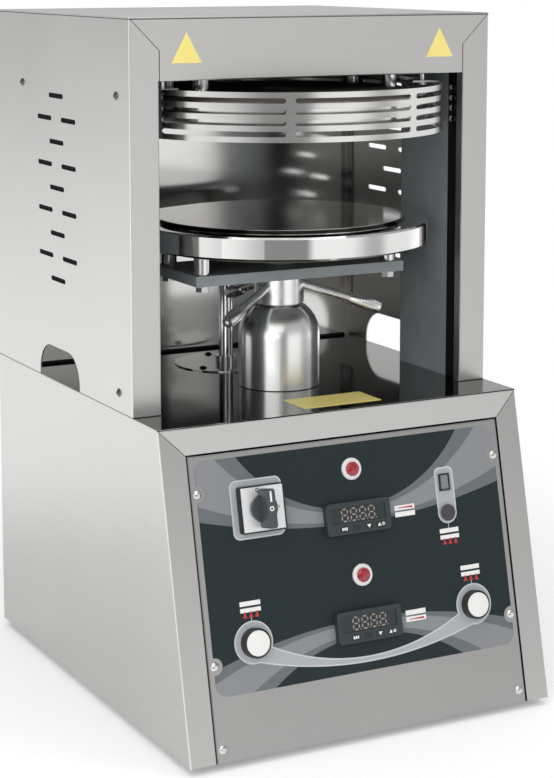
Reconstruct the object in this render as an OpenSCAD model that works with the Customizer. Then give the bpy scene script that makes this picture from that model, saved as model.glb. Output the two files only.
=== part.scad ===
// Heated pizza dough press for a bench: a folded stainless cabinet with a sloping control
// panel, a ram that lifts the lower plate, and a fixed upper plate inside a slotted guard ring.
// Millimetres, +Z up, +Y to the back. The origin lies under the middle of the whole box.

/* [Plates] */
// Radius of both pressing plates
plate_r = 167; // [155:1:180]
// Thickness of the lower plate's rim
lower_plate_t = 25; // [20:1:30]
// Width of the plain rim round the raised pressing disc
rim_w = 24; // [17:1:30]
// Height of the raised pressing disc
disc_h = 4.5; // [3:0.5:6]
// Thickness of the upper plate
upper_plate_t = 27; // [22:1:32]
// Lift of the lower plate from open to closed
press_stroke = 105; // [90:1:110]
// Travel of the dough thickness adjustment
adjust_travel = 4; // [3:0.5:6]

/* [Guard ring] */
// Radial room between the plates and the guard ring
ring_gap = 15; // [12:1:20]
// Height of the guard ring
ring_h = 52; // [46:1:60]
// How far the ring hangs below the upper plate
ring_drop = 14; // [8:1:20]
// Free lift of the ring before it trips its stop
ring_lift = 8; // [5:1:10]

/* [Cabinet] */
// Depth of the cabinet from its front foot edge to its back
cabinet_d = 543; // [520:1:600]
// Height of the base from its lower edge to the deck
base_h = 335.5; // [320:0.5:370]
// How far the sloping front leans back over its height
front_setback = 76; // [60:1:90]
// Depth of the deck in front of the upper housing
deck_lip = 62.5; // [50:0.5:75]
// Distance of the press axis behind the housing's front
axis_in = 87.5; // [75:0.5:95]
// Thickness of the stainless sheet
sheet_t = 1.5; // [1:0.1:2.5]
// Width of the folded bands round the control panel
band_w = 28.5; // [22:0.5:34]
// Width of the folded flanges beside the press opening
flange_w = 33.5; // [28:0.5:38]
// Height of the header over the press opening
header_h = 66.5; // [55:0.5:80]
// Height of the rubber feet
foot_h = 8; // [5:1:15]

/* [Column] */
// Radius of the bell that covers the ram
bell_r = 46; // [40:1:50]
// Height of the bell above the deck
bell_h = 91; // [78:0.5:95]
// Radius of the adjusting collar
collar_r = 28; // [26:0.5:32]
// Height of the adjusting collar
collar_h = 35; // [34:1:46]
// Radius of the circle that the handle tips turn on
handle_tip_r = 115; // [100:1:120]
// Droop of the handles below level, in degrees
handle_droop = 17; // [10:1:20]
// Distance of the guide rod behind the press axis
rod_offset = 136; // [134:1:142]
// Radius of the guide rod
rod_r = 8.5; // [7:0.5:10]

/* [Support] */
// Room on the support plate from its bolts to its edges
support_edge = 13; // [12:0.5:20]
// Thickness of the support plate
support_t = 11.5; // [9:0.5:14]
// Length of the spacers between support plate and lower plate
spacer_h = 25; // [22:0.5:32]
// Radius of the spacers and pillars
pillar_r = 9; // [6:0.5:10]

/* [Hidden] */
$fn = 72;

// Shared clearances: cuts run past faces, seams show between folded sheets, moving faces run
overrun = 1;
seam = 0.9;
run_gap = 0.1;
free_gap = 0.4;
fit_gap = 0.05;

// Finishes
stainless = "#b9bab7";
chrome = "#d6d7d6";
aluminium = "#c2c3c1";
slate = "#4d5355";
black = "#1d1e1f";
bronze = "#a9803f";
mica = "#8d8470";
cast_grey = "#6d7478";
film = "#2d3839";
dark_window = "#262a2b";
timer_grey = "#8f979a";
button_grey = "#3c3d41";
lens_red = "#b3202b";
cap_white = "#e9e9e6";

// Spacers and pillars under the plates, and the support plate round them
pillar_x_share = 0.7;
pillar_y_share = 0.2575;
pillar_x = plate_r * pillar_x_share;
pillar_y = plate_r * pillar_y_share;
support_x = pillar_x + support_edge;
support_y = pillar_y + support_edge;

// Guard ring radii and the width of the cabinet that goes round it
ring_t = 1.5;
ring_r = plate_r + ring_gap;
upright_gap = 9.5;
upright_t = 11;
upright_d = 102;
upright_side_gap = 16;
upright_x = ring_r + upright_gap;
half_w = upright_x + upright_t + upright_side_gap + sheet_t;

// Cable gland at the back, which sets how far the box reaches behind the cabinet
gland_r = 13;
gland_out = 20;
gland_nut_share = 0.45;
gland_bore_r = 6;
gland_x_share = -0.636;
gland_x = half_w * gland_x_share;
gland_z = 52;

// Depths, counted from the cabinet's front foot edge
front_y = -(cabinet_d + gland_out) / 2;
back_y = front_y + cabinet_d;
deck_front_y = front_y + front_setback;
house_y = deck_front_y + deck_lip;
axis_y = house_y + axis_in;
rod_y = axis_y + rod_offset;

// Heights of the base and its sloping front
base_z = foot_h;
deck_z = base_z + base_h;
slope_a = atan(front_setback / base_h);
slope_l = sqrt(front_setback * front_setback + base_h * base_h);
deck_under = deck_z - sheet_t;
deck_cut = sheet_t / cos(slope_a);

// Heights of the press, stacked from the deck upwards
collar_gap = 2;
collar_z = deck_z + bell_h + collar_gap;
support_z = collar_z + collar_h;
spacer_z = support_z + support_t;
plate_z = spacer_z + spacer_h;
disc_top = plate_z + lower_plate_t + disc_h;
closed_gap = 1.5;
upper_z = disc_top + press_stroke + adjust_travel + closed_gap;
pillar_z = upper_z + upper_plate_t;
ring_z = upper_z - ring_drop;
ring_top = ring_z + ring_h;
header_gap = 2;
header_z = ring_top + ring_lift + header_gap;
crosshead_gap = 4;
crosshead_z = header_z + crosshead_gap;
crosshead_t = 30;
roof_z = header_z + header_h;

// Frame under the deck, which closes the load path of the two uprights
beam_t = 30;
beam_z = deck_under - beam_t;
beam_y = 60;

// Guide rod cover and the inner wall behind it
cover_r = 61;
cover_t = 1.5;
wall_gap = 30;
wall_y = rod_y + cover_r + wall_gap;
wall_flange = 14;

// Case screws
screw_head_r = 4.75;
screw_head_h = 2.6;
socket_r = 1.75;
socket_d = 1.6;
screw_r = 2;
screw_hole_r = 2.2;
screw_l = 5;

// Places of the case screws on the housing sides
side_screw_in = 35;
side_screw_low = 21.5;
side_screw_high = 82;
side_screw_wall = 6;
side_screws = [
    [house_y + side_screw_in, deck_z + side_screw_low],
    [house_y + side_screw_in, roof_z - side_screw_high],
    [wall_y - side_screw_wall, roof_z - side_screw_high]
];

// Screws in a column on the front edge of each upright
edge_screws = 4;
edge_screw_pitch = 12;
edge_screw_top = 22;

// Screws on the round cover behind the column
cover_screws = 3;
cover_screw_share = 0.79;

// Vent slots in the housing: rows of one and two by turns
vent_l = 42.5;
vent_w = 5.5;
vent_rows = 9;
vent_pitch = 26;
vent_top = 92;
vent_back = 205;
vent_spread = 35.5;

// Half-round cut-out low in each housing side
notch_w = 120;
notch_h = 40;
notch_corner_r = 34;

// Folded edges of the sheets, with their outer bend radius
fold_r = 1.5;
deck_bevel = 1.2;
return_w = 12;
lip_w = 14;
header_return = 15;
panel_gap = 1.8;
foot_rise = 2 * sheet_t * tan(slope_a);

// Rubber feet, set in from the cabinet's edges so that its skirt hides them
foot_r = 18;
foot_taper = 3;
foot_in = 50;

// Control panel, measured along the slope from its lower edge
panel_half = half_w - band_w - panel_gap;
panel_top = slope_l - band_w - panel_gap;
overlay_t = 0.5;
overlay_side_in = 6.5;
overlay_half = panel_half - overlay_side_in;
overlay_low_share = 0.21;
overlay_top_in = 6;
overlay_corner_r = 14;
overlay_screw_r = 9;
panel_screw_in = 7.5;
panel_screw_shares = [0.045, 0.312, 0.874];
cut_gap = 0.3;

// Main switch: black frame with a cam block behind the panel, plate and turning knob
switch_u_share = -0.594;
switch_v_share = 0.803;
switch_at = [switch_u_share * panel_half, switch_v_share * panel_top];
switch_frame_w = 52;
switch_frame_h = 49;
switch_frame_t = 8;
switch_frame_r = 3;
switch_rim = 1.5;
switch_plate_t = 1.5;
switch_plate_drop = 0.5;
switch_neck_r = 14;
switch_block_w = 44;
switch_block_d = 48;
knob_skirt_r = 15;
knob_skirt_t = 4;
knob_bar_w = 10;
knob_bar_l = 41;
knob_bar_h = 20;
knob_end_r = 3;
knob_stem_r = 5;
knob_stem_l = 14;
knob_gap = 0.5;

// Temperature controllers: bezel, sunk window and a case behind the panel
controller_shares = [0.365, 0.729];
controller_w = 78.5;
controller_h = 33.7;
controller_t = 7;
controller_corner_r = 4;
controller_case_w = 70;
controller_case_h = 28;
controller_case_d = 58;
window_w = 66;
window_h = 17;
window_rise = 3.4;
window_t = 1.2;
window_drop = 1;

// Heating lamps: bright bezel and red lens
lamp_shares = [0.532, 0.892];
lamp_r = 11.8;
lamp_t = 3;
lamp_edge = 1;
lamp_neck_r = 7;
lamp_neck_l = 18;
lamp_floor = 0.8;
lens_r = 7.6;
lens_foot = 3.5;
lens_dome = 3;

// Timer: small framed window over a round set button
timer_u_share = 0.6;
timer_v_share = 0.804;
timer_at = [timer_u_share * panel_half, timer_v_share * panel_top];
timer_w = 13;
timer_h = 18.5;
timer_t = 2.2;
timer_rim = 1.6;
timer_drop = 0.7;
timer_window_t = 0.9;
timer_case_in = 1.2;
timer_case_d = 16;
timer_button_v_share = 0.698;
timer_button_at = [timer_u_share * panel_half, timer_button_v_share * panel_top];
timer_button_r = 8.8;
timer_button_t = 1.4;
timer_button_travel = 2;
timer_stem_r = 3;
timer_stem_l = 9;

// Two-hand push buttons: bezel, white cap and a contact block behind the panel
button_u_share = 0.712;
button_v_share = 0.369;
button_u = button_u_share * panel_half;
button_v = button_v_share * panel_top;
button_r = 15.5;
button_t = 10;
button_edge = 1.2;
button_floor = 0.6;
button_neck_r = 11;
button_neck_l = 12;
button_block_w = 30;
button_block_h = 42;
button_block_d = 34;
cap_r = 13.2;
cap_t = 4;
cap_dome = 1;
cap_stem_r = 5;
cap_stem_l = 16;
button_travel = 5;

// Plates and their heaters
plate_bevel = 2;
disc_r = plate_r - rim_w;
heater_share = 0.86;
heater_r = plate_r * heater_share;
heater_t = 4.5;
heater_hole_gap = 1;

// Ring slots: rows between upright bars, with a plain seam at the back
ring_rows = 4;
ring_row_share = 0.222;
ring_slot_h = 5.5;
ring_slot_end_share = 0.98;
ring_bays = 7;
ring_bay_a = 48;
ring_bar_w = 15;

// Ring hangers: shouldered bolts under the crosshead that the ring's tabs rest on
hanger_a = 14;
tab_w = 22;
tab_l = 28;
tab_t = 2;
hanger_in = 15;
hanger_r = 4;
hanger_head_r = 7;
hanger_head_t = 3;
crosshead_edge = 15;
crosshead_y = pillar_y + crosshead_edge;

// Frame bolts through the uprights into beam and crosshead
bolt_y = 25;
bolt_r = 6;
bolt_head_r = 10.4;
bolt_head_h = 7.5;

// Bell, bushes and ram
bell_top_r = 29.5;
bell_shoulder_h = 33;
bell_wall = 7;
bush_r = 23.5;
bush_l = 28;
ram_r = 19;
ram_bore_r = 14;
ram_top_gap = 2;
ram_tail = 9;
ram_z = beam_z - press_stroke - ram_tail;
ram_top = support_z - ram_top_gap;

// Lead screw, its nut in the ram and the thrust bearing that carries it
screw_rod_r = 9;
nut_l = 36;
nut_flange_t = 6;
nut_room = 8;
thrust_collar_r = 16;
thrust_collar_t = 6;
thrust_ring_t = 7;
screw_top = ram_z + nut_l + press_stroke + nut_room;
screw_tail = 60;
screw_ram_room = 10;
gear_top = ram_z - nut_flange_t - nut_room - thrust_collar_t - thrust_ring_t;

// Worm gearbox hung from the beam, with its motor lying to the back
gear_w = 104;
gear_h = 88;
gear_edge_r = 10;
gear_flange_w = 124;
gear_flange_t = 12;
post_in = 52;
post_r = 8;
motor_drop = 50;
motor_z = gear_top - motor_drop;
motor_r = 36;
motor_l = 120;
motor_nose_r = 42;
motor_nose_l = 10;
fin_r = 44;
fin_t = 2.5;
fin_count = 13;
fan_cover_r = 46;
fan_cover_l = 38;
terminal_w = 62;
terminal_l = 66;
terminal_h = 30;

// Electric tray on the left base side: plate, rail and switching blocks
tray_l = 170;
tray_h = 130;
tray_t = 2;
tray_back = 70;
tray_low = 95;
rail_h = 35;
rail_t = 8;
block_count = 3;
block_w = 45;
block_h = 76;
block_d = 62;
block_pitch = 52;

// Guide rod and its flanged bush
bush_flange_r = 12.5;
bush_flange_h = 8;
bush_body_r = 11.8;
bush_body_l = 45;
rod_tail = 30;
rod_stud_r = 6;
rod_nut_r = 9;
rod_nut_h = 7;
tongue_r = 20;
boss_r = 18;

// Bolts under the support plate
support_bolt_r = 4;
support_head_r = 7.6;
support_head_h = 5.5;
support_washer_r = 9;
support_washer_t = 1.6;

// Handles of the adjusting collar
handle_count = 3;
handle_a = 93;
handle_z_share = 0.62;
handle_r = 4.75;
handle_root_r = 21;
grip_r = 8;
grip_root_r = 5.8;
grip_end_r = 6.2;
grip_full_share = 0.6;
grip_tip_r = 2.2;
grip_tip_d = 2;
grip_l = 36;
grip_cap = 5;
grip_steps = 10;
collar_edge = 2;
handle_z = collar_z + collar_h * handle_z_share + collar_r * tan(handle_droop);
handle_l = handle_tip_r / cos(handle_droop);

// Local frames: (u across, v up the slope, n out of the panel), and the press axis
module on_panel() {
    translate([0, front_y, base_z]) rotate([90 - slope_a, 0, 0]) children();
}

module on_axis(z) {
    translate([0, axis_y, z]) children();
}

module at_pillars(z) {
    for (x = [-pillar_x, pillar_x], y = [-pillar_y, pillar_y])
        translate([x, axis_y + y, z]) children();
}

// Turns a drawing in (Y, Z) into a plate that is t thick along +X
module plate_x(t) {
    rotate([90, 0, 90]) linear_extrude(t) children();
}

// Turns a drawing in (X, Z) into a plate that is t thick along +Y
module plate_y(t) {
    translate([0, t, 0]) rotate([90, 0, 0]) linear_extrude(t) children();
}

module rounded_rect(w, h, r) {
    square([w - 2 * r, h], center = true);
    square([w, h - 2 * r], center = true);
    for (x = [r - w / 2, w / 2 - r], y = [r - h / 2, h / 2 - r])
        translate([x, y]) circle(r);
}

module slot(l, w) {
    square([l - w, w], center = true);
    for (x = [(w - l) / 2, (l - w) / 2])
        translate([x, 0]) circle(w / 2);
}

// Button head with a hexagon socket, on a short shank
module button_screw() {
    dome_r = (screw_head_r * screw_head_r + screw_head_h * screw_head_h) / (2 * screw_head_h);
    difference() {
        intersection() {
            translate([0, 0, screw_head_h - dome_r]) sphere(dome_r);
            cylinder(r = screw_head_r, h = screw_head_h);
        }
        translate([0, 0, screw_head_h - socket_d]) cylinder(r = socket_r, h = socket_d + overrun, $fn = 6);
    }
    translate([0, 0, -screw_l]) cylinder(r = screw_r, h = screw_l);
}

// What a bend takes off a square corner at the origin, whose sheet lies towards -x and +y
module fold_round() {
    difference() {
        translate([-fold_r, -overrun]) square(fold_r + overrun);
        translate([-fold_r, fold_r]) circle(fold_r);
    }
}

module right_and_left() {
    children();
    mirror([1, 0, 0]) children();
}

// Base cabinet

module panel_screw_places() {
    for (s = [-1, 1], v = panel_screw_shares)
        translate([s * (panel_half - panel_screw_in), v * panel_top, 0]) children();
}

// Flat trapezoid with a mitred front band and a stepped lip that carries the control panel
module base_side() {
    slope_y = front_y + (deck_under - base_z) * tan(slope_a);
    band_u = half_w - band_w;
    band_top = slope_l - deck_cut;
    lip_l = slope_l - band_w - seam - foot_rise;
    difference() {
        union() {
            translate([half_w - sheet_t, 0, 0])
                plate_x(sheet_t)
                    polygon([
                        [front_y, base_z], [back_y, base_z], [back_y, deck_under], [slope_y, deck_under]
                    ]);
            on_panel() translate([0, 0, -sheet_t])
                linear_extrude(sheet_t)
                    polygon([
                        [half_w, foot_rise], [band_u, foot_rise], [band_u, slope_l - band_w - seam],
                        [half_w - deck_cut + seam, band_top], [half_w, band_top]
                    ]);
            on_panel() translate([0, foot_rise, -2 * sheet_t]) {
                translate([band_u - lip_w, 0, 0]) cube([lip_w + sheet_t, lip_l, sheet_t]);
                translate([band_u, 0, 0]) cube([sheet_t, lip_l, 2 * sheet_t]);
            }
        }
        on_panel() panel_screw_places()
            translate([0, 0, -3 * sheet_t]) cylinder(r = screw_hole_r, h = 3 * sheet_t);
        on_panel() translate([half_w, -overrun, 0])
            rotate([-90, 0, 0]) linear_extrude(slope_l + 2 * overrun) fold_round();
    }
}

module base_right_side() {
    color(stainless) base_side();
}

module base_left_side() {
    color(stainless) mirror([1, 0, 0]) base_side();
}

module base_back() {
    color(stainless) difference() {
        translate([sheet_t - half_w, back_y - sheet_t, base_z])
            cube([2 * (half_w - sheet_t), sheet_t, base_h - sheet_t]);
        translate([gland_x, back_y - sheet_t - overrun, base_z + gland_z])
            rotate([-90, 0, 0]) cylinder(r = gland_r, h = sheet_t + 2 * overrun);
    }
}

module base_floor() {
    floor_front = front_y + (2 * sheet_t + panel_gap) / cos(slope_a) + sheet_t * tan(slope_a);
    color(stainless)
        translate([sheet_t - half_w, floor_front, base_z])
            cube([2 * (half_w - sheet_t), back_y - sheet_t - floor_front, sheet_t]);
}

module rubber_feet() {
    color(black)
        for (x = [foot_in - half_w, half_w - foot_in], y = [front_y + foot_in, back_y - foot_in])
            translate([x, y, 0]) cylinder(r1 = foot_r - foot_taper, r2 = foot_r, h = foot_h);
}

// What the bend takes off the deck's front corner: everything above a line across the corner
module deck_bend() {
    cut_l = 4 * deck_bevel;
    translate([deck_bevel, 0]) rotate(45 - slope_a / 2) translate([-cut_l / 2, 0]) square(cut_l);
}

// Polished deck sheet, folded down over the front as the top band of the panel frame
module deck() {
    band_u = half_w - band_w;
    color(chrome) difference() {
        union() {
            translate([-half_w, deck_front_y, deck_under])
                cube([2 * half_w, cabinet_d - front_setback, sheet_t]);
            on_panel() translate([0, 0, -sheet_t])
                linear_extrude(sheet_t)
                    polygon([
                        [-half_w, slope_l], [half_w, slope_l],
                        [band_u, slope_l - band_w], [-band_u, slope_l - band_w]
                    ]);
        }
        translate([-half_w - overrun, 0, 0])
            plate_x(2 * (half_w + overrun)) translate([deck_front_y, deck_z]) deck_bend();
        on_axis(deck_under - overrun) cylinder(r = bush_r, h = sheet_t + 2 * overrun);
        translate([0, rod_y, deck_under - overrun])
            cylinder(r = bush_body_r + fit_gap, h = sheet_t + 2 * overrun);
        right_and_left()
            translate([upright_x - cut_gap, axis_y - upright_d / 2 - cut_gap, deck_under - overrun])
                cube([upright_t + 2 * cut_gap, upright_d + 2 * cut_gap, sheet_t + 2 * overrun]);
        cover_screw_places(deck_z) translate([0, 0, -sheet_t - overrun])
            cylinder(r = screw_hole_r, h = sheet_t + 2 * overrun);
    }
}

// Upper housing

// Slots in rows of one and two by turns, drawn about the middle of the top row
module vent_slots() {
    for (row = [0 : vent_rows - 1])
        let (spread = row % 2 == 0 ? [0] : [-vent_spread, vent_spread])
            for (x = spread)
                translate([x, -row * vent_pitch]) slot(vent_l, vent_w);
}

module side_notch() {
    translate([0, notch_h / 2 - notch_corner_r / 2])
        rounded_rect(notch_w, notch_h + notch_corner_r, notch_corner_r);
}

module housing_side() {
    opening_x = half_w - flange_w;
    side_top = roof_z - sheet_t;
    difference() {
        union() {
            translate([half_w - sheet_t, house_y, deck_z])
                cube([sheet_t, cabinet_d - front_setback - deck_lip, side_top - deck_z]);
            translate([0, house_y, 0])
                plate_y(sheet_t)
                    polygon([
                        [half_w, deck_z], [opening_x, deck_z], [opening_x, roof_z - flange_w - seam],
                        [half_w - sheet_t + seam, side_top], [half_w, side_top]
                    ]);
            translate([opening_x, house_y, deck_z])
                cube([sheet_t, return_w, header_z - deck_z]);
        }
        translate([half_w, house_y, deck_z - overrun])
            linear_extrude(side_top - deck_z + 2 * overrun) fold_round();
        translate([opening_x, house_y, deck_z - overrun])
            linear_extrude(header_z - deck_z + 2 * overrun) mirror([1, 0]) fold_round();
        translate([half_w - sheet_t - overrun, 0, 0]) {
            translate([0, house_y + vent_back, roof_z - vent_top])
                plate_x(sheet_t + 2 * overrun) vent_slots();
            translate([0, house_y + vent_back, deck_z])
                plate_x(sheet_t + 2 * overrun) side_notch();
            for (p = side_screws)
                translate([0, p[0], p[1]])
                    rotate([0, 90, 0]) cylinder(r = screw_hole_r, h = sheet_t + 2 * overrun);
        }
    }
}

module housing_right_side() {
    color(stainless) housing_side();
}

module housing_left_side() {
    color(stainless) mirror([1, 0, 0]) housing_side();
}

// Roof sheet with the front header folded down and returned under its lower edge
module housing_roof() {
    lap_x = half_w - flange_w - seam;
    color(stainless) difference() {
        roof_sheet(lap_x);
        translate([-half_w - overrun, 0, 0]) plate_x(2 * (half_w + overrun)) {
            translate([house_y, roof_z]) rotate(180) fold_round();
            translate([house_y, header_z]) rotate(180) mirror([0, 1]) fold_round();
        }
    }
}

module roof_sheet(lap_x) {
    union() {
        translate([-half_w, house_y, roof_z - sheet_t])
            cube([2 * half_w, back_y - house_y, sheet_t]);
        translate([0, house_y, 0])
            plate_y(sheet_t)
                polygon([
                    [-half_w, roof_z], [half_w, roof_z],
                    [lap_x, roof_z - flange_w - seam], [lap_x, header_z],
                    [-lap_x, header_z], [-lap_x, roof_z - flange_w - seam]
                ]);
        translate([-lap_x, house_y, header_z])
            cube([2 * lap_x, header_return, sheet_t]);
    }
}

module housing_back() {
    color(stainless) difference() {
        translate([sheet_t - half_w, back_y - sheet_t, deck_z])
            cube([2 * (half_w - sheet_t), sheet_t, roof_z - sheet_t - deck_z]);
        translate([0, back_y - sheet_t - overrun, roof_z - vent_top])
            plate_y(sheet_t + 2 * overrun) vent_slots();
    }
}

// Wall behind the column, with flanges folded forward against the housing sides
module inner_back_wall() {
    wall_half = half_w - sheet_t;
    wall_h = roof_z - sheet_t - deck_z;
    color(stainless) difference() {
        union() {
            translate([-wall_half, wall_y, deck_z]) cube([2 * wall_half, sheet_t, wall_h]);
            right_and_left()
                translate([wall_half - sheet_t, wall_y - wall_flange, deck_z + notch_h])
                    cube([sheet_t, wall_flange + sheet_t, wall_h - notch_h]);
        }
        right_and_left()
            translate([wall_half - sheet_t - overrun, wall_y - side_screw_wall, roof_z - side_screw_high])
                rotate([0, 90, 0]) cylinder(r = screw_hole_r, h = sheet_t + 2 * overrun);
    }
}

module cover_screw_places(z) {
    for (i = [0 : cover_screws - 1])
        translate([0, rod_y, z]) rotate([0, 0, 90 + i * 360 / cover_screws])
            translate([cover_r * cover_screw_share, 0, 0]) children();
}

module edge_screw_places() {
    for (i = [0 : edge_screws - 1])
        translate([upright_x + upright_t / 2, axis_y - upright_d / 2,
                   crosshead_z - edge_screw_top - i * edge_screw_pitch])
            rotate([90, 0, 0]) children();
}

module case_screws() {
    color(chrome) {
        right_and_left() {
            for (p = side_screws)
                translate([half_w, p[0], p[1]]) rotate([0, 90, 0]) button_screw();
            edge_screw_places() button_screw();
        }
        cover_screw_places(deck_z + cover_t) button_screw();
    }
}

// Press frame

module upright() {
    difference() {
        translate([upright_x, axis_y - upright_d / 2, beam_z])
            cube([upright_t, upright_d, crosshead_z + crosshead_t - beam_z]);
        frame_bolt_places() translate([0, 0, -upright_t - overrun])
            cylinder(r = bolt_r + fit_gap, h = upright_t + 2 * overrun);
        edge_screw_places() translate([0, 0, -screw_l - overrun])
            cylinder(r = screw_hole_r, h = screw_l + 2 * overrun);
    }
}

module right_upright() {
    color(slate) upright();
}

module left_upright() {
    color(slate) mirror([1, 0, 0]) upright();
}

module frame_bolt_places() {
    for (y = [-bolt_y, bolt_y], z = [beam_z + beam_t / 2, crosshead_z + crosshead_t / 2])
        translate([upright_x + upright_t, axis_y + y, z]) rotate([0, 90, 0]) children();
}

module frame_bolts() {
    color(cast_grey) right_and_left() frame_bolt_places() {
        cylinder(r = bolt_head_r, h = bolt_head_h, $fn = 6);
        translate([0, 0, -upright_t]) cylinder(r = bolt_r, h = upright_t);
    }
}

module base_beam() {
    color(slate) difference() {
        translate([-upright_x, axis_y - beam_y, beam_z]) cube([2 * upright_x, 2 * beam_y, beam_t]);
        on_axis(beam_z - overrun) cylinder(r = bush_r + fit_gap, h = beam_t + 2 * overrun);
    }
}

module crosshead() {
    color(slate)
        translate([-upright_x, axis_y - crosshead_y, crosshead_z])
            cube([2 * upright_x, 2 * crosshead_y, crosshead_t]);
}

// Upper plate and guard ring

module upper_plate() {
    color(chrome) on_axis(upper_z)
        rotate_extrude()
            polygon([
                [0, 0], [plate_r - plate_bevel, 0], [plate_r, plate_bevel],
                [plate_r, upper_plate_t], [0, upper_plate_t]
            ]);
}

module upper_pillars() {
    color(chrome) at_pillars(pillar_z) cylinder(r = pillar_r, h = crosshead_z - pillar_z);
}

module heater_disc(z) {
    difference() {
        on_axis(z) cylinder(r = heater_r, h = heater_t);
        at_pillars(z - overrun) cylinder(r = pillar_r + heater_hole_gap, h = heater_t + 2 * overrun);
        on_axis(z - overrun) cylinder(r = boss_r + heater_hole_gap, h = heater_t + 2 * overrun);
    }
}

module upper_heater() {
    color(mica) heater_disc(pillar_z);
}

module hanger_places(z) {
    for (a = [-hanger_a, hanger_a, 180 - hanger_a, 180 + hanger_a])
        on_axis(z) rotate([0, 0, a]) translate([ring_r - hanger_in, 0, 0]) children();
}

module ring_hangers() {
    head_z = ring_top - tab_t - hanger_head_t;
    color(chrome) hanger_places(head_z) {
        cylinder(r = hanger_head_r, h = hanger_head_t);
        cylinder(r = hanger_r, h = crosshead_z - head_z);
    }
}

// Slotted sheet ring with four tabs turned in at its top edge
module guard_ring() {
    bar_a = ring_bar_w / ring_r * 180 / PI;
    first_a = -90 - ring_bays * ring_bay_a / 2;
    color(stainless) difference() {
        union() {
            on_axis(ring_z) difference() {
                cylinder(r = ring_r, h = ring_h);
                translate([0, 0, -overrun]) cylinder(r = ring_r - ring_t, h = ring_h + 2 * overrun);
            }
            intersection() {
                hanger_places(ring_top - tab_t)
                    translate([-tab_l / 2, -tab_w / 2, 0]) cube([tab_l, tab_w, tab_t]);
                on_axis(ring_z) cylinder(r = ring_r - ring_t / 2, h = ring_h);
            }
        }
        hanger_places(ring_top - tab_t - overrun)
            cylinder(r = hanger_r + free_gap, h = tab_t + 2 * overrun);
        for (bay = [0 : ring_bays - 1], row = [0 : ring_rows - 1])
            on_axis(ring_z + ring_h / 2 + (row - (ring_rows - 1) / 2) * ring_h * ring_row_share)
                rotate([0, 0, first_a + bay * ring_bay_a + bar_a / 2])
                    rotate_extrude(angle = ring_bay_a - bar_a)
                        translate([ring_r - ring_t - overrun, -ring_slot_h / 2])
                            square([ring_t + 2 * overrun, ring_slot_h]);
        for (bay = [0 : ring_bays - 1], row = [0 : ring_rows - 1], end = [0, 1])
            on_axis(ring_z + ring_h / 2 + (row - (ring_rows - 1) / 2) * ring_h * ring_row_share)
                rotate([0, 0, first_a + (bay + end) * ring_bay_a + (1 - 2 * end) * bar_a / 2])
                    translate([ring_r - ring_t - overrun, 0, 0]) rotate([0, 90, 0])
                        cylinder(r = ring_slot_h / 2 * ring_slot_end_share, h = ring_t + 2 * overrun);
    }
}

// Column

// Domed cover round the ram: straight wall, then one arc up to the neck
module bell() {
    drop = bell_r - bell_top_r;
    shoulder_r = (drop * drop + bell_shoulder_h * bell_shoulder_h) / (2 * drop);
    shoulder_end = asin(bell_shoulder_h / shoulder_r);
    shoulder_steps = 12;
    wall_top = bell_h - bell_shoulder_h;
    color(aluminium) on_axis(deck_z) difference() {
        rotate_extrude()
            polygon(concat(
                [[0, 0], [bell_r, 0]],
                [for (i = [0 : shoulder_steps])
                    let (a = shoulder_end * i / shoulder_steps)
                        [bell_r - shoulder_r + shoulder_r * cos(a), wall_top + shoulder_r * sin(a)]],
                [[0, bell_h]]
            ));
        translate([0, 0, -overrun]) cylinder(r = bell_r - bell_wall, h = bell_h - bush_l + overrun);
        translate([0, 0, -overrun]) cylinder(r = bush_r + fit_gap, h = bell_h + 2 * overrun);
    }
}

module ram_bush(z, l) {
    on_axis(z) difference() {
        cylinder(r = bush_r, h = l);
        translate([0, 0, -overrun]) cylinder(r = ram_r + run_gap, h = l + 2 * overrun);
    }
}

module ram_bushes() {
    color(bronze) {
        ram_bush(deck_z + bell_h - bush_l, bush_l);
        ram_bush(beam_z, beam_t);
    }
}

module guide_cover() {
    color(stainless) difference() {
        translate([0, rod_y, deck_z]) cylinder(r = cover_r, h = cover_t);
        translate([0, rod_y, deck_z - overrun])
            cylinder(r = bush_body_r + fit_gap, h = cover_t + 2 * overrun);
        cover_screw_places(deck_z - overrun) cylinder(r = screw_hole_r, h = cover_t + 2 * overrun);
    }
}

module guide_bush() {
    color(chrome) translate([0, rod_y, deck_z + cover_t]) difference() {
        union() {
            cylinder(r = bush_flange_r, h = bush_flange_h);
            translate([0, 0, -bush_body_l]) cylinder(r = bush_body_r, h = bush_body_l);
        }
        translate([0, 0, -bush_body_l - overrun])
            cylinder(r = rod_r + run_gap, h = bush_body_l + bush_flange_h + 2 * overrun);
    }
}

// Drive inside the base

module gearbox() {
    color(cast_grey) difference() {
        union() {
            on_axis(gear_top - gear_h) linear_extrude(gear_h) rounded_rect(gear_w, gear_w, gear_edge_r);
            on_axis(gear_top - gear_flange_t)
                linear_extrude(gear_flange_t) rounded_rect(gear_flange_w, gear_flange_w, gear_edge_r);
            on_axis(motor_z) translate([0, gear_w / 2, 0])
                rotate([-90, 0, 0]) cylinder(r = motor_nose_r, h = motor_nose_l);
        }
        on_axis(gear_top - screw_tail - overrun)
            cylinder(r = screw_rod_r + run_gap, h = screw_tail + 2 * overrun);
    }
}

module gearbox_posts() {
    color(cast_grey)
        for (x = [-post_in, post_in], y = [-post_in, post_in])
            translate([x, axis_y + y, gear_top]) cylinder(r = post_r, h = beam_z - gear_top);
}

module thrust_bearing() {
    color(chrome) on_axis(gear_top) difference() {
        cylinder(r = thrust_collar_r, h = thrust_ring_t);
        translate([0, 0, -overrun]) cylinder(r = screw_rod_r + free_gap, h = thrust_ring_t + 2 * overrun);
    }
}

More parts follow.
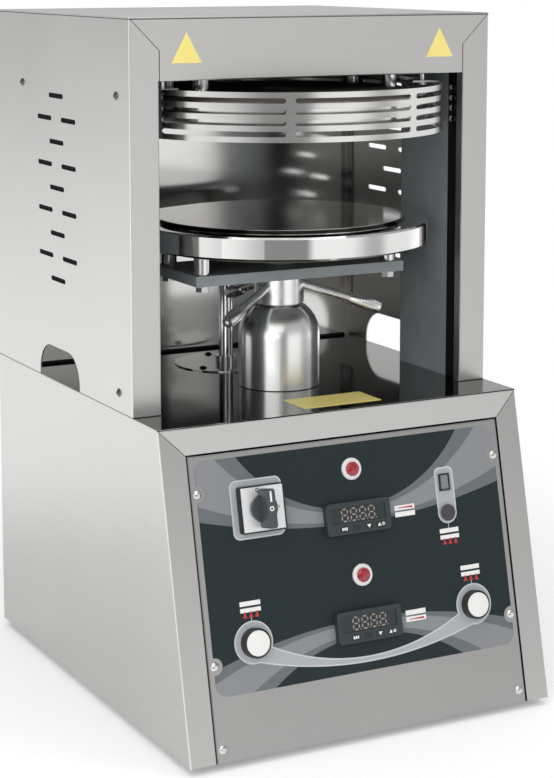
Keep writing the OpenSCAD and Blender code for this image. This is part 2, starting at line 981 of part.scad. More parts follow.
module drive_motor() {
    motor_y = axis_y + gear_w / 2 + motor_nose_l;
    fin_pitch = motor_l / fin_count;
    color(cast_grey) translate([0, motor_y, motor_z]) {
        rotate([-90, 0, 0]) {
            cylinder(r = motor_r, h = motor_l);
            for (i = [0 : fin_count - 1])
                translate([0, 0, i * fin_pitch]) cylinder(r = fin_r, h = fin_t);
            translate([0, 0, motor_l]) cylinder(r = fan_cover_r, h = fan_cover_l);
        }
        translate([-terminal_w / 2, (motor_l - terminal_l) / 2, 0])
            cube([terminal_w, terminal_l, fin_r + terminal_h]);
    }
}

module cable_gland() {
    gland_nut_l = gland_out * gland_nut_share;
    color(black) translate([gland_x, back_y, base_z + gland_z]) rotate([-90, 0, 0]) difference() {
        union() {
            cylinder(r = gland_r + sheet_t, h = gland_nut_l, $fn = 6);
            translate([0, 0, gland_nut_l])
                cylinder(r1 = gland_r, r2 = gland_bore_r + sheet_t, h = gland_out - gland_nut_l);
            translate([0, 0, -gland_out]) cylinder(r = gland_r - fit_gap, h = gland_out);
        }
        translate([0, 0, -gland_out - overrun]) cylinder(r = gland_bore_r, h = 2 * gland_out + 2 * overrun);
    }
}

module electric_tray() {
    block_y = (block_pitch - block_w) / 2;
    color(cast_grey) translate([sheet_t - half_w, back_y - tray_back - tray_l, base_z + tray_low]) {
        cube([tray_t, tray_l, tray_h]);
        translate([tray_t, 0, (tray_h - rail_h) / 2]) cube([rail_t, tray_l, rail_h]);
        for (i = [0 : block_count - 1])
            translate([tray_t + rail_t, block_y + i * block_pitch, (tray_h - block_h) / 2])
                cube([block_d, block_w, block_h]);
    }
}

// Control panel

// Outlines of everything that passes through the panel, each grown by gap
module panel_cuts(gap) {
    translate(switch_at) circle(switch_neck_r + gap);
    for (v = controller_shares)
        translate([0, v * panel_top])
            square([controller_case_w, controller_case_h] + 2 * [gap, gap], center = true);
    for (v = lamp_shares)
        translate([0, v * panel_top]) circle(lamp_neck_r + gap);
    translate(timer_at)
        square([timer_w - 2 * timer_case_in, timer_h - 2 * timer_case_in] + 2 * [gap, gap], center = true);
    translate(timer_button_at) circle(timer_stem_r + gap);
    for (s = [-1, 1])
        translate([s * button_u, button_v]) circle(button_neck_r + gap);
}

module control_panel() {
    color(stainless) on_panel() difference() {
        translate([-panel_half, foot_rise, -sheet_t])
            cube([2 * panel_half, panel_top - foot_rise, sheet_t]);
        translate([0, 0, -sheet_t - overrun]) linear_extrude(sheet_t + 2 * overrun) panel_cuts(cut_gap);
        panel_screw_places() translate([0, 0, -sheet_t - overrun])
            cylinder(r = screw_hole_r, h = sheet_t + 2 * overrun);
        right_and_left() translate([panel_half, 0, 0])
            rotate([-90, 0, 0]) linear_extrude(panel_top + overrun) fold_round();
        translate([-panel_half - overrun, panel_top, 0])
            plate_x(2 * (panel_half + overrun)) mirror([0, 1]) fold_round();
    }
}

// Printed film on the panel, notched round the corner screws
module panel_overlay() {
    low = overlay_low_share * panel_top;
    high = panel_top - overlay_top_in;
    color(film) on_panel() linear_extrude(overlay_t) difference() {
        translate([0, (low + high) / 2]) rounded_rect(2 * overlay_half, high - low, overlay_corner_r);
        panel_cuts(cut_gap);
        panel_screw_places() circle(overlay_screw_r);
    }
}

module panel_screws() {
    color(chrome) on_panel() panel_screw_places() button_screw();
}

module switch_body() {
    color(black) on_panel() translate(switch_at) difference() {
        union() {
            translate([0, 0, overlay_t])
                linear_extrude(switch_frame_t) rounded_rect(switch_frame_w, switch_frame_h, switch_frame_r);
            translate([0, 0, -switch_neck_r]) cylinder(r = switch_neck_r, h = switch_neck_r + overlay_t);
            translate([0, 0, -switch_neck_r - switch_block_d / 2])
                cube([switch_block_w, switch_block_w, switch_block_d], center = true);
        }
        translate([0, 0, overlay_t + switch_frame_t - switch_plate_drop - switch_plate_t])
            linear_extrude(switch_plate_t + switch_plate_drop + overrun)
                square([switch_frame_w - 2 * switch_rim, switch_frame_h - 2 * switch_rim], center = true);
        translate([0, 0, overlay_t + switch_frame_t - knob_stem_l])
            cylinder(r = knob_stem_r + run_gap, h = knob_stem_l + overrun);
    }
}

module switch_plate() {
    color(aluminium) on_panel() translate(switch_at)
        translate([0, 0, overlay_t + switch_frame_t - switch_plate_drop - switch_plate_t])
            linear_extrude(switch_plate_t) difference() {
                square([switch_frame_w - 2 * switch_rim, switch_frame_h - 2 * switch_rim], center = true);
                circle(knob_stem_r + free_gap);
            }
}

// Pointer knob: round skirt, straight grip bar with rounded ends, and a stem into the cam block
module switch_knob() {
    plate_n = overlay_t + switch_frame_t - switch_plate_drop;
    color(black) on_panel() translate([switch_at[0], switch_at[1], plate_n + knob_gap]) {
        cylinder(r = knob_skirt_r, h = knob_skirt_t);
        linear_extrude(knob_bar_h) rounded_rect(knob_bar_w, knob_bar_l, knob_end_r);
        translate([0, 0, switch_plate_drop - knob_gap - knob_stem_l + fit_gap])
            cylinder(r = knob_stem_r, h = knob_stem_l + knob_gap - switch_plate_drop);
    }
}

module controllers() {
    color(black) on_panel() for (v = controller_shares)
        translate([0, v * panel_top, overlay_t]) difference() {
            union() {
                linear_extrude(controller_t) rounded_rect(controller_w, controller_h, controller_corner_r);
                translate([0, 0, -controller_case_d / 2])
                    cube([controller_case_w, controller_case_h, controller_case_d], center = true);
            }
            translate([0, 0, controller_t - window_drop - window_t])
                linear_extrude(window_drop + window_t + overrun)
                    translate([0, window_rise]) square([window_w, window_h], center = true);
        }
}

module controller_windows() {
    color(dark_window) on_panel() for (v = controller_shares)
        translate([0, v * panel_top, overlay_t + controller_t - window_drop - window_t])
            linear_extrude(window_t)
                translate([0, window_rise]) square([window_w, window_h], center = true);
}

module lamp_bezels() {
    color(chrome) on_panel() for (v = lamp_shares)
        translate([0, v * panel_top, overlay_t]) difference() {
            union() {
                rotate_extrude()
                    polygon([
                        [0, 0], [lamp_r, 0], [lamp_r, lamp_t - lamp_edge],
                        [lamp_r - lamp_edge, lamp_t], [0, lamp_t]
                    ]);
                translate([0, 0, -lamp_neck_l]) cylinder(r = lamp_neck_r, h = lamp_neck_l);
            }
            translate([0, 0, lamp_floor]) cylinder(r = lens_r + fit_gap, h = lamp_t + overrun);
        }
}

// Red lens, a low cap of a sphere over a straight foot
module lamp_lenses() {
    dome_r = (lens_r * lens_r + lens_dome * lens_dome) / (2 * lens_dome);
    color(lens_red) on_panel() for (v = lamp_shares)
        translate([0, v * panel_top, overlay_t + lamp_floor]) {
            cylinder(r = lens_r, h = lens_foot);
            translate([0, 0, lens_foot]) intersection() {
                translate([0, 0, lens_dome - dome_r]) sphere(dome_r);
                cylinder(r = lens_r, h = lens_dome);
            }
        }
}

module timer_display() {
    color(black) on_panel() translate(timer_at) difference() {
        union() {
            translate([0, 0, overlay_t])
                linear_extrude(timer_t) square([timer_w, timer_h], center = true);
            translate([0, 0, overlay_t - timer_case_d]) linear_extrude(timer_case_d)
                square([timer_w - 2 * timer_case_in, timer_h - 2 * timer_case_in], center = true);
        }
        translate([0, 0, overlay_t + timer_t - timer_drop - timer_window_t])
            linear_extrude(timer_drop + timer_window_t + overrun)
                square([timer_w - 2 * timer_rim, timer_h - 2 * timer_rim], center = true);
    }
}

module timer_window() {
    color(timer_grey) on_panel() translate(timer_at)
        translate([0, 0, overlay_t + timer_t - timer_drop - timer_window_t])
            linear_extrude(timer_window_t)
                square([timer_w - 2 * timer_rim, timer_h - 2 * timer_rim], center = true);
}

module timer_button() {
    color(button_grey) on_panel() translate(timer_button_at) {
        translate([0, 0, overlay_t + timer_button_travel]) cylinder(r = timer_button_r, h = timer_button_t);
        translate([0, 0, overlay_t + timer_button_travel - timer_stem_l])
            cylinder(r = timer_stem_r, h = timer_stem_l);
    }
}

// Bezel with a sunk seat for the cap, threaded neck and contact block
module button_bodies() {
    seat_r = cap_r + free_gap;
    stem_room = cap_t + cap_stem_l + button_travel + free_gap;
    block_n = -button_neck_l - button_block_d;
    color(black) on_panel() for (s = [-1, 1])
        translate([s * button_u, button_v, overlay_t]) difference() {
            union() {
                rotate_extrude()
                    polygon([
                        [0, 0], [button_r, 0], [button_r, button_t - button_edge],
                        [button_r - button_edge, button_t], [0, button_t]
                    ]);
                translate([0, 0, -button_neck_l]) cylinder(r = button_neck_r, h = button_neck_l);
                translate([-button_block_w / 2, -button_block_h / 2, block_n])
                    cube([button_block_w, button_block_h, button_block_d]);
            }
            translate([0, 0, button_floor]) cylinder(r = seat_r, h = button_t);
            translate([0, 0, button_t - stem_room])
                cylinder(r = cap_stem_r + free_gap, h = stem_room);
        }
}

module push_button(s) {
    dome_r = (cap_r * cap_r + cap_dome * cap_dome) / (2 * cap_dome);
    color(cap_white) on_panel() translate([s * button_u, button_v, overlay_t + button_t - cap_t]) {
        cylinder(r = cap_r, h = cap_t);
        translate([0, 0, cap_t]) intersection() {
            translate([0, 0, cap_dome - dome_r]) sphere(dome_r);
            cylinder(r = cap_r, h = cap_dome);
        }
        translate([0, 0, -cap_stem_l]) cylinder(r = cap_stem_r, h = cap_stem_l);
    }
}

module left_button() {
    push_button(-1);
}

module right_button() {
    push_button(1);
}

// Ram and lead screw

module ram() {
    color(chrome) on_axis(0) difference() {
        translate([0, 0, ram_z]) cylinder(r = ram_r, h = ram_top - ram_z);
        translate([0, 0, ram_z - overrun])
            cylinder(r = ram_bore_r, h = screw_top + screw_ram_room - ram_z + overrun);
    }
}

module ram_nut() {
    color(bronze) on_axis(0) difference() {
        union() {
            translate([0, 0, ram_z]) cylinder(r = ram_bore_r - fit_gap, h = nut_l);
            translate([0, 0, ram_z - nut_flange_t]) cylinder(r = ram_r, h = nut_flange_t);
        }
        translate([0, 0, ram_z - nut_flange_t - overrun])
            cylinder(r = screw_rod_r + run_gap, h = nut_l + nut_flange_t + 2 * overrun);
    }
}

module lead_screw() {
    color(cast_grey) on_axis(0) {
        translate([0, 0, gear_top - screw_tail])
            cylinder(r = screw_rod_r, h = screw_top - gear_top + screw_tail);
        translate([0, 0, gear_top + thrust_ring_t])
            cylinder(r = thrust_collar_r, h = thrust_collar_t);
    }
}

// Plate carriage

// Painted plate with a tongue to the back that holds the guide rod, and a boss under the plate
module support_plate() {
    color(slate) difference() {
        union() {
            on_axis(support_z) linear_extrude(support_t) {
                square([2 * support_x, 2 * support_y], center = true);
                translate([-tongue_r, 0]) square([2 * tongue_r, rod_offset]);
                translate([0, rod_offset]) circle(tongue_r);
            }
            on_axis(spacer_z) cylinder(r = boss_r, h = spacer_h);
        }
        at_pillars(support_z - overrun)
            cylinder(r = support_bolt_r + fit_gap, h = support_t + 2 * overrun);
        translate([0, rod_y, support_z - overrun])
            cylinder(r = rod_stud_r + fit_gap, h = support_t + 2 * overrun);
    }
}

module support_bolts() {
    color(cast_grey) at_pillars(support_z) {
        translate([0, 0, -support_washer_t]) cylinder(r = support_washer_r, h = support_washer_t);
        translate([0, 0, -support_washer_t - support_head_h])
            cylinder(r = support_head_r, h = support_head_h, $fn = 6);
        cylinder(r = support_bolt_r, h = support_t);
    }
}

module lower_spacers() {
    color(chrome) at_pillars(spacer_z) cylinder(r = pillar_r, h = spacer_h);
}

// Thick rim with bevelled edges and a raised pressing disc
module lower_plate() {
    color(chrome) on_axis(plate_z)
        rotate_extrude()
            polygon([
                [0, 0], [plate_r - plate_bevel, 0], [plate_r, plate_bevel],
                [plate_r, lower_plate_t - plate_bevel], [plate_r - plate_bevel, lower_plate_t],
                [disc_r, lower_plate_t], [disc_r - disc_h, lower_plate_t + disc_h],
                [0, lower_plate_t + disc_h]
            ]);
}

module lower_heater() {
    color(mica) heater_disc(plate_z - heater_t);
}

module guide_rod() {
    rod_low = deck_z - press_stroke - adjust_travel - rod_tail;
    color(chrome) translate([0, rod_y, 0]) {
        translate([0, 0, rod_low]) cylinder(r = rod_r, h = support_z - rod_low);
        translate([0, 0, support_z]) cylinder(r = rod_stud_r, h = support_t);
        translate([0, 0, spacer_z]) cylinder(r = rod_nut_r, h = rod_nut_h, $fn = 6);
    }
}

// Adjusting collar and its handles

module handle_places() {
    for (i = [0 : handle_count - 1])
        on_axis(handle_z) rotate([0, 0, handle_a + i * 360 / handle_count])
            rotate([0, 90 + handle_droop, 0]) children();
}

module adjusting_collar() {
    root = handle_root_r / cos(handle_droop);
    color(chrome) difference() {
        on_axis(collar_z)
            rotate_extrude()
                polygon([
                    [0, 0], [collar_r - collar_edge, 0], [collar_r, collar_edge],
                    [collar_r, collar_h - collar_edge], [collar_r - collar_edge, collar_h], [0, collar_h]
                ]);
        on_axis(collar_z - overrun) cylinder(r = ram_r + run_gap, h = collar_h + 2 * overrun);
        handle_places() translate([0, 0, root]) cylinder(r = handle_r + fit_gap, h = collar_r);
    }
}

module handle_rods() {
    root = handle_root_r / cos(handle_droop);
    color(chrome) handle_places()
        translate([0, 0, root]) cylinder(r = handle_r, h = handle_l - grip_cap - root);
}

// Radius of a grip at a share of its length: it swells from the rod, then narrows to its tip
function grip_at(share) =
    share < grip_full_share
        ? grip_r - (grip_r - grip_root_r) * pow(1 - share / grip_full_share, 2)
        : grip_r - (grip_r - grip_end_r) * pow((share - grip_full_share) / (1 - grip_full_share), 2);

// Barrel grips, bored from the inner end for the rods and with a drilled tip
module handle_grips() {
    color(chrome) handle_places() translate([0, 0, handle_l - grip_l]) difference() {
        rotate_extrude()
            polygon(concat(
                [[0, 0]],
                [for (i = [0 : grip_steps]) [grip_at(i / grip_steps), grip_l * i / grip_steps]],
                [[0, grip_l]]
            ));
        translate([0, 0, -overrun]) cylinder(r = handle_r + fit_gap, h = grip_l - grip_cap + overrun);
        translate([0, 0, grip_l - grip_tip_d]) cylinder(r = grip_tip_r, h = grip_tip_d + overrun);
    }
}

base_left_side();
base_right_side();
base_back();
base_floor();
rubber_feet();
deck();
housing_left_side();
housing_right_side();
housing_roof();
housing_back();
inner_back_wall();
case_screws();
left_upright();
right_upright();
base_beam();
crosshead();
frame_bolts();
upper_plate();
upper_pillars();
upper_heater();
ring_hangers();
guard_ring();
bell();
ram_bushes();
guide_cover();
guide_bush();
gearbox();
gearbox_posts();
thrust_bearing();
drive_motor();
cable_gland();
electric_tray();
control_panel();
panel_overlay();
panel_screws();
switch_body();
switch_plate();
switch_knob();
controllers();
controller_windows();
lamp_bezels();
lamp_lenses();
timer_display();
timer_window();
timer_button();
button_bodies();
left_button();
right_button();
ram();
ram_nut();
lead_screw();
support_plate();
support_bolts();
lower_spacers();
lower_plate();
lower_heater();
guide_rod();
adjusting_collar();
handle_rods();
handle_grips();
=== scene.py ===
import math

import bmesh
import bpy
from mathutils import Matrix, Vector


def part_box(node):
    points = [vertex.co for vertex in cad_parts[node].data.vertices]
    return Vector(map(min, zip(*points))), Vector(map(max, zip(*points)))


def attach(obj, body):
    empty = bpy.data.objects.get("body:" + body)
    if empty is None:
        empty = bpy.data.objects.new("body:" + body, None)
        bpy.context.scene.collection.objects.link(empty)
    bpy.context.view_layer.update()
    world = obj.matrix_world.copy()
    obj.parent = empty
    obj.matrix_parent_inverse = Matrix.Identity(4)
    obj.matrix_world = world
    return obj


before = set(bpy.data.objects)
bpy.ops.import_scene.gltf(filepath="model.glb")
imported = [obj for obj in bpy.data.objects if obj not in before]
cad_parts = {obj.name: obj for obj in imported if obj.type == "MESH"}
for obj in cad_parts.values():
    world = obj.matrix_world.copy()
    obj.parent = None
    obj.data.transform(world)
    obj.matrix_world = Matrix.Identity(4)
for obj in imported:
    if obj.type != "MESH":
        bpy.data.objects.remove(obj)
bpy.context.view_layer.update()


# Studio. The camera stands at the photograph's place, in front and to the left, a little above
# the press. The room is pale behind the press and banded behind the camera, for the metal to
# mirror. Four soft lamps light it, and a low panel and two strips show only in metal.
camera = bpy.data.objects.new("camera", bpy.data.cameras.new("camera"))
camera.data.sensor_width = 36
camera.data.lens = 93.15
camera.data.shift_y = -0.2
camera.data.clip_end = 60
camera_yaw = math.radians(27.81)
camera_pitch = math.radians(7.71)
camera.location = (-1.0504, -2.0422, 0.8198)
camera.rotation_mode = "QUATERNION"
camera.rotation_quaternion = Vector((
    math.sin(camera_yaw) * math.cos(camera_pitch),
    math.cos(camera_yaw) * math.cos(camera_pitch),
    -math.sin(camera_pitch),
)).to_track_quat("-Z", "Y")
bpy.context.scene.collection.objects.link(camera)
bpy.context.scene.camera = camera
bpy.context.scene.view_settings.view_transform = "Standard"


class Value:
    """A socket of a node tree. Arithmetic on values adds the nodes that it needs."""

    def __init__(self, tree, socket=None):
        self.tree, self.socket = tree, socket

    def node(self, kind, settings=None, inputs=None, output=0):
        made = self.tree.nodes.new(kind)
        for name, setting in (settings or {}).items():
            setattr(made, name, setting)
        for name, given in (inputs or {}).items():
            if isinstance(given, Value):
                self.tree.links.new(given.socket, made.inputs[name])
            else:
                made.inputs[name].default_value = given
        return Value(self.tree, made.outputs[output])

    def sum(self, operation, *terms):
        return self.node("ShaderNodeMath", {"operation": operation}, dict(enumerate(terms)))

    def __add__(self, other):
        return self.sum("ADD", self, other)

    def __sub__(self, other):
        return self.sum("SUBTRACT", self, other)

    def __rsub__(self, other):
        return self.sum("SUBTRACT", other, self)

    def __mul__(self, other):
        return self.sum("MULTIPLY", self, other)

    def __abs__(self):
        return self.sum("ABSOLUTE", self)

    __radd__, __rmul__ = __add__, __mul__

    def least(self, other):
        return self.sum("MINIMUM", self, other)

    def most(self, other):
        return self.sum("MAXIMUM", self, other)

    def length_with(self, other):
        return self.sum("SQRT", self * self + other * other)

    def step(self, low, high):
        return self.node("ShaderNodeMapRange", {"interpolation_type": "SMOOTHSTEP"},
                         {0: self, 1: low, 2: high})

    def tint(self, first, second):
        """A colour that goes from first to second as this value goes from 0 to 1."""
        first, second = (c if isinstance(c, Value) else (*c, 1) for c in (first, second))
        return self.node("ShaderNodeMix", {"data_type": "RGBA"}, {0: self, 6: first, 7: second}, 2)

    def split(self):
        made = self.node("ShaderNodeSeparateXYZ", inputs={0: self}).socket.node
        return [Value(self.tree, out) for out in made.outputs]

    def vector(self, operation, *others, output=0, **named):
        return self.node("ShaderNodeVectorMath", {"operation": operation},
                         {**dict(enumerate((self, *others))), **named}, output)

    def noise(self, per_metre, detail=2.0):
        """Noise with this many waves to the metre, along each axis or along all three."""
        if not isinstance(per_metre, tuple):
            per_metre = (per_metre, per_metre, per_metre)
        return self.node("ShaderNodeTexNoise", inputs={
            "Vector": self.vector("MULTIPLY", per_metre), "Scale": 1.0, "Detail": detail})


world = bpy.data.worlds.new("studio")
bpy.context.scene.world = world
world.use_nodes = True
sky = Value(world.node_tree)
way_x, way_y, way_z = sky.node("ShaderNodeTexCoord", output="Generated").split()
to_camera = way_x * -math.sin(camera_yaw) + way_y * -math.cos(camera_yaw)
to_right = way_x * math.cos(camera_yaw) + way_y * -math.sin(camera_yaw)
bearing = to_right.sum("ARCTAN2", to_right, to_camera) * math.degrees(1)

# Behind the camera each row changes the room's light from one bearing to another, in degrees.
front = 1.0
for change, start, end in ((-0.25, -60, -35), (-0.45, -40, -8), (0.73, 20, 28),
                           (-0.5, 54, 76), (0.42, 80, 95)):
    front = front + change * bearing.step(start, end)
front = front * (1 - 0.22 * way_z.step(-0.05, 0.08))
# Behind the press the room is brighter just under the horizon and straight ahead.
behind = (0.66 + 0.78 * (1 - way_z.step(-0.2, 0.0)) - 0.45 * (1 - way_z.step(-0.34, -0.22))
          + 0.42 * abs(bearing).step(140, 165))
CEILING_LEVEL = 0.43
backdrop = 1 - (bearing.step(-114, -94) - bearing.step(114, 134))
level = front + backdrop * (behind - front)
level = level + way_z.step(0.05, 0.35) * (CEILING_LEVEL - level)
seen_white = sky.node("ShaderNodeLightPath", output="Is Camera Ray").most(
    sky.node("ShaderNodeLightPath", output="Is Transmission Ray"))
level = level + seen_white * (1 - level)
world.node_tree.links.new(level.socket, world.node_tree.nodes["Background"].inputs["Strength"])
world.node_tree.nodes["Background"].inputs["Color"].default_value = (1, 1, 1, 1)

# The two column strips light only these pieces. Each lamp has its place, target, size and power,
# and says whether it shows in metal and on matt surfaces.
PRESS_MIDDLE = (0, 0, 0.45)
PRESS_AXIS_Y = -0.0555
column_lamps = bpy.data.collections.new("lit_by_column_lamps")
for node in ("bell", "deck", "adjusting_collar", "handle_rods", "handle_grips", "guide_rod"):
    column_lamps.objects.link(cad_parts[node])
for name, place, target, size, power, in_metal, on_matt in (
    ("key_lamp", (-1.47, -1.77, 2.35), PRESS_MIDDLE, (2.7, 2.7), 18.5, True, True),
    ("front_lamp", (-1.54, -1.84, 0.87), PRESS_MIDDLE, (1.5, 1.5), 17.5, False, True),
    ("side_lamp", (1.65, -1.8, 1.65), PRESS_MIDDLE, (1.7, 1.7), 9, False, True),
    ("top_lamp", (0.0, 0.1, 2.9), PRESS_MIDDLE, (2.4, 2.4), 20, True, True),
    ("low_panel", (-0.80, -0.66, 0.36), (0, PRESS_AXIS_Y, 0.36), (0.54, 0.4), 0.2, True, False),
    ("column_low_strip", (-0.695, -0.778, 0.24), (0, PRESS_AXIS_Y, 0.24), (0.68, 0.24), 0.35,
     True, False),
    ("column_mid_strip", (-0.568, -0.623, 0.478), (0, PRESS_AXIS_Y, 0.478), (0.58, 0.05), 0.4,
     True, False),
):
    lamp = bpy.data.objects.new(name, bpy.data.lights.new(name, "AREA"))
    lamp.data.shape = "RECTANGLE"
    lamp.data.size, lamp.data.size_y = size
    lamp.data.energy = power
    lamp.location = place
    lamp.visible_camera = False
    lamp.visible_glossy = in_metal
    lamp.visible_diffuse = on_matt
    if name.startswith("column"):
        lamp.light_linking.receiver_collection = column_lamps
    lamp.rotation_mode = "QUATERNION"
    lamp.rotation_quaternion = (Vector(target) - lamp.location).to_track_quat("-Z", "Y")
    bpy.context.scene.collection.objects.link(lamp)


class Finish:
    """A material: the constants of its shader, and the values that vary over the surface."""

    def __init__(self, name, colour, metallic=0.0, roughness=0.5, coat=0.0, edge=1.0, gloss=0.5):
        self.material = bpy.data.materials.new(name)
        self.material.use_nodes = True
        self.shader = self.material.node_tree.nodes["Principled BSDF"].inputs
        self.shader["Base Color"].default_value = (*colour, 1)
        self.shader["Metallic"].default_value = metallic
        self.shader["Roughness"].default_value = roughness
        self.shader["Coat Weight"].default_value = coat
        self.shader["Specular Tint"].default_value = (edge, edge, edge, 1)
        self.shader["Specular IOR Level"].default_value = gloss
        self.place = Value(self.material.node_tree).node("ShaderNodeTexCoord", output="Object")

    def feed(self, socket, value):
        self.material.node_tree.links.new(value.socket, self.shader[socket])

    def bump(self, height):
        """A height over the surface, in metres."""
        self.feed("Normal", height.node("ShaderNodeBump", inputs={
            "Height": height, "Distance": 1.0, "Strength": 1.0}))

    def mottle(self, smoothest, span, per_metre, detail=2.0):
        """Roughness that varies a little from spot to spot."""
        self.feed("Roughness", smoothest + self.place.noise(per_metre, detail) * span)

    def dress(self, *pieces):
        for piece in pieces:
            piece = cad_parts.get(piece, piece)
            piece.data.materials.clear()
            piece.data.materials.append(self.material)


def printed(red, green, blue):
    """A colour given as it looks on a screen, from 0 to 255."""
    return [((c / 255 + 0.055) / 1.055) ** 2.4 if c > 10 else c / 255 / 12.92
            for c in (red, green, blue)]


FLOOR_HALF = 14.0
FLOOR_FADE = (0.55, 1.15)
FLOOR_GLOW, FLOOR_GLOW_SEEN = (0.2, 0.2, 0.2), (0.26, 0.26, 0.26)
floor_mesh = bpy.data.meshes.new("studio_floor")
floor_mesh.from_pydata([(FLOOR_HALF * x, FLOOR_HALF * y, 0)
                        for x, y in ((-1, -1), (1, -1), (1, 1), (-1, 1))], [], [(0, 1, 2, 3)])
floor = bpy.data.objects.new("studio_floor", floor_mesh)
bpy.context.scene.collection.objects.link(floor)
floor_paint = Finish("studio_floor", (0.93, 0.93, 0.93), roughness=0.9, gloss=0.1)
floor_x, floor_y, _ = floor_paint.place.split()
far = floor_x.length_with(floor_y).step(*FLOOR_FADE)
seen = far.node("ShaderNodeLightPath", output="Is Camera Ray")
floor_paint.feed("Emission Color", seen.tint(FLOOR_GLOW, FLOOR_GLOW_SEEN))
floor_paint.shader["Emission Strength"].default_value = 1.0
floor_tree = floor_paint.material.node_tree
beyond = seen.node("ShaderNodeMixShader", inputs={
    0: seen, 1: seen.node("ShaderNodeBsdfTransparent"), 2: seen.node("ShaderNodeEmission")})
faded = far.node("ShaderNodeMixShader", inputs={
    0: far, 1: Value(floor_tree, floor_tree.nodes["Principled BSDF"].outputs[0]), 2: beyond})
floor_tree.links.new(faded.socket, floor_tree.nodes["Material Output"].inputs["Surface"])
floor_paint.dress(floor)


# Cabinet sheets: stainless steel, folded and brushed along their length. The base stands on
# rubber feet, and the housing's sides and roof are screwed to the frame inside.
ALONG_SHEET = (7.0, 7.0, 1900.0)


def brushed(name, colour, roughness, across=ALONG_SHEET):
    """Steel with fine scratches along the sheet and a faint cloud of handling over it."""
    steel = Finish(name, colour, metallic=1.0, roughness=roughness, edge=0.85)
    scratch = steel.place.noise(across, 3.0)
    cloud = steel.place.noise(6.0)
    steel.colour = (scratch * 0.5 + cloud * 0.5).step(0.2, 0.8).tint(
        [c * 0.95 for c in colour], [c * 1.04 for c in colour])
    steel.feed("Base Color", steel.colour)
    steel.rough = roughness + (scratch - 0.5) * 0.1 + (cloud - 0.5) * 0.06
    steel.feed("Roughness", steel.rough)
    steel.bump(scratch * 0.000012)
    return steel


# A skin is where a sheet's outer face begins, through its thickness. The outside of a bend carries
# a painted highlight, and a joint is the dark line where two sheets meet.
SHEET_COLOUR, FOLD_HIGHLIGHT = printed(204, 203, 201), printed(250, 249, 247)
JOINT_LINE, BASE_INSIDE_SHADE = printed(84, 83, 82), printed(70, 70, 69)
SIDE_SKIN, BACK_SKIN, SIDE_FOLD = (0.2190, 0.2194), (0.2606, 0.2610), (0.2186, 0.2190)
FRONT_SLOPE = math.atan(76 / 335.5)
PANEL_FOOT = (0.0, -0.2815, 0.008)
sheet_steel = brushed("brushed_sheet_steel", SHEET_COLOUR, 0.3)
sheet_x, sheet_y, sheet_z = sheet_steel.place.split()
behind_front = ((sheet_y - PANEL_FOOT[1]) * math.cos(FRONT_SLOPE)
                - (sheet_z - PANEL_FOOT[2]) * math.sin(FRONT_SLOPE))
# Painted shade: the inner faces and cut edges of the base's sheets are coloured dark.
painted_shade_inside_base = ((1 - abs(sheet_x).step(*SIDE_SKIN)) * behind_front.step(0.0003, 0.0006)
               * (1 - sheet_y.step(*BACK_SKIN)))
# Painted highlight along the outside of the base's folds.
base_fold_highlight = (1 - behind_front.step(0.0012, 0.0016)) * abs(sheet_x).step(*SIDE_FOLD)
sheet_steel.feed("Base Color", painted_shade_inside_base.tint(
    base_fold_highlight.tint(sheet_steel.colour, FOLD_HIGHLIGHT), BASE_INSIDE_SHADE))
sheet_steel.dress("base_left_side", "base_right_side", "base_back", "base_floor")
panel_steel = brushed("brushed_panel_steel", printed(183, 182, 181), 0.3)
panel_steel.dress("control_panel")

# The housing's sheets are brushed outside only. Inside they keep the dull finish of the mill.
MILL_COLOUR = printed(195, 194, 191)
FRONT_SKIN, TOP_SKIN, FRONT_FOLD = (-0.1424, -0.1420), (0.7616, 0.7620), (-0.1418, -0.1414)
FOOT_JOINT, ROOF_JOINT_LOW, ROOF_JOINT_HIGH = (0.3442, 0.3446), (0.7600, 0.7602), (0.7609, 0.7611)
housing_steel = brushed("brushed_housing_steel", SHEET_COLOUR, 0.3)
house_x, house_y, house_z = housing_steel.place.split()
inside_house = ((1 - abs(house_x).step(*SIDE_SKIN)) * house_y.step(*FRONT_SKIN)
                * (1 - house_y.step(*BACK_SKIN)) * (1 - house_z.step(*TOP_SKIN)))
# Painted highlight along the outside of the housing's front folds.
house_fold_highlight = (1 - house_y.step(*FRONT_FOLD)) * abs(house_x).step(*SIDE_FOLD)
house_joint = (1 - house_z.step(*FOOT_JOINT)).most(
    house_z.step(*ROOF_JOINT_LOW) - house_z.step(*ROOF_JOINT_HIGH))
outside_colour = house_joint.tint(house_fold_highlight.tint(housing_steel.colour, FOLD_HIGHLIGHT), JOINT_LINE)
housing_steel.feed("Base Color", inside_house.tint(outside_colour, MILL_COLOUR))
housing_steel.feed("Roughness", housing_steel.rough + inside_house * 0.08)
housing_steel.dress("housing_left_side", "housing_right_side", "housing_roof", "housing_back")


def built(name, build):
    """The finished mesh as a new object of the scene."""
    mesh = bpy.data.meshes.new(name)
    build.to_mesh(mesh)
    build.free()
    piece = bpy.data.objects.new(name, mesh)
    bpy.context.scene.collection.objects.link(piece)
    return piece


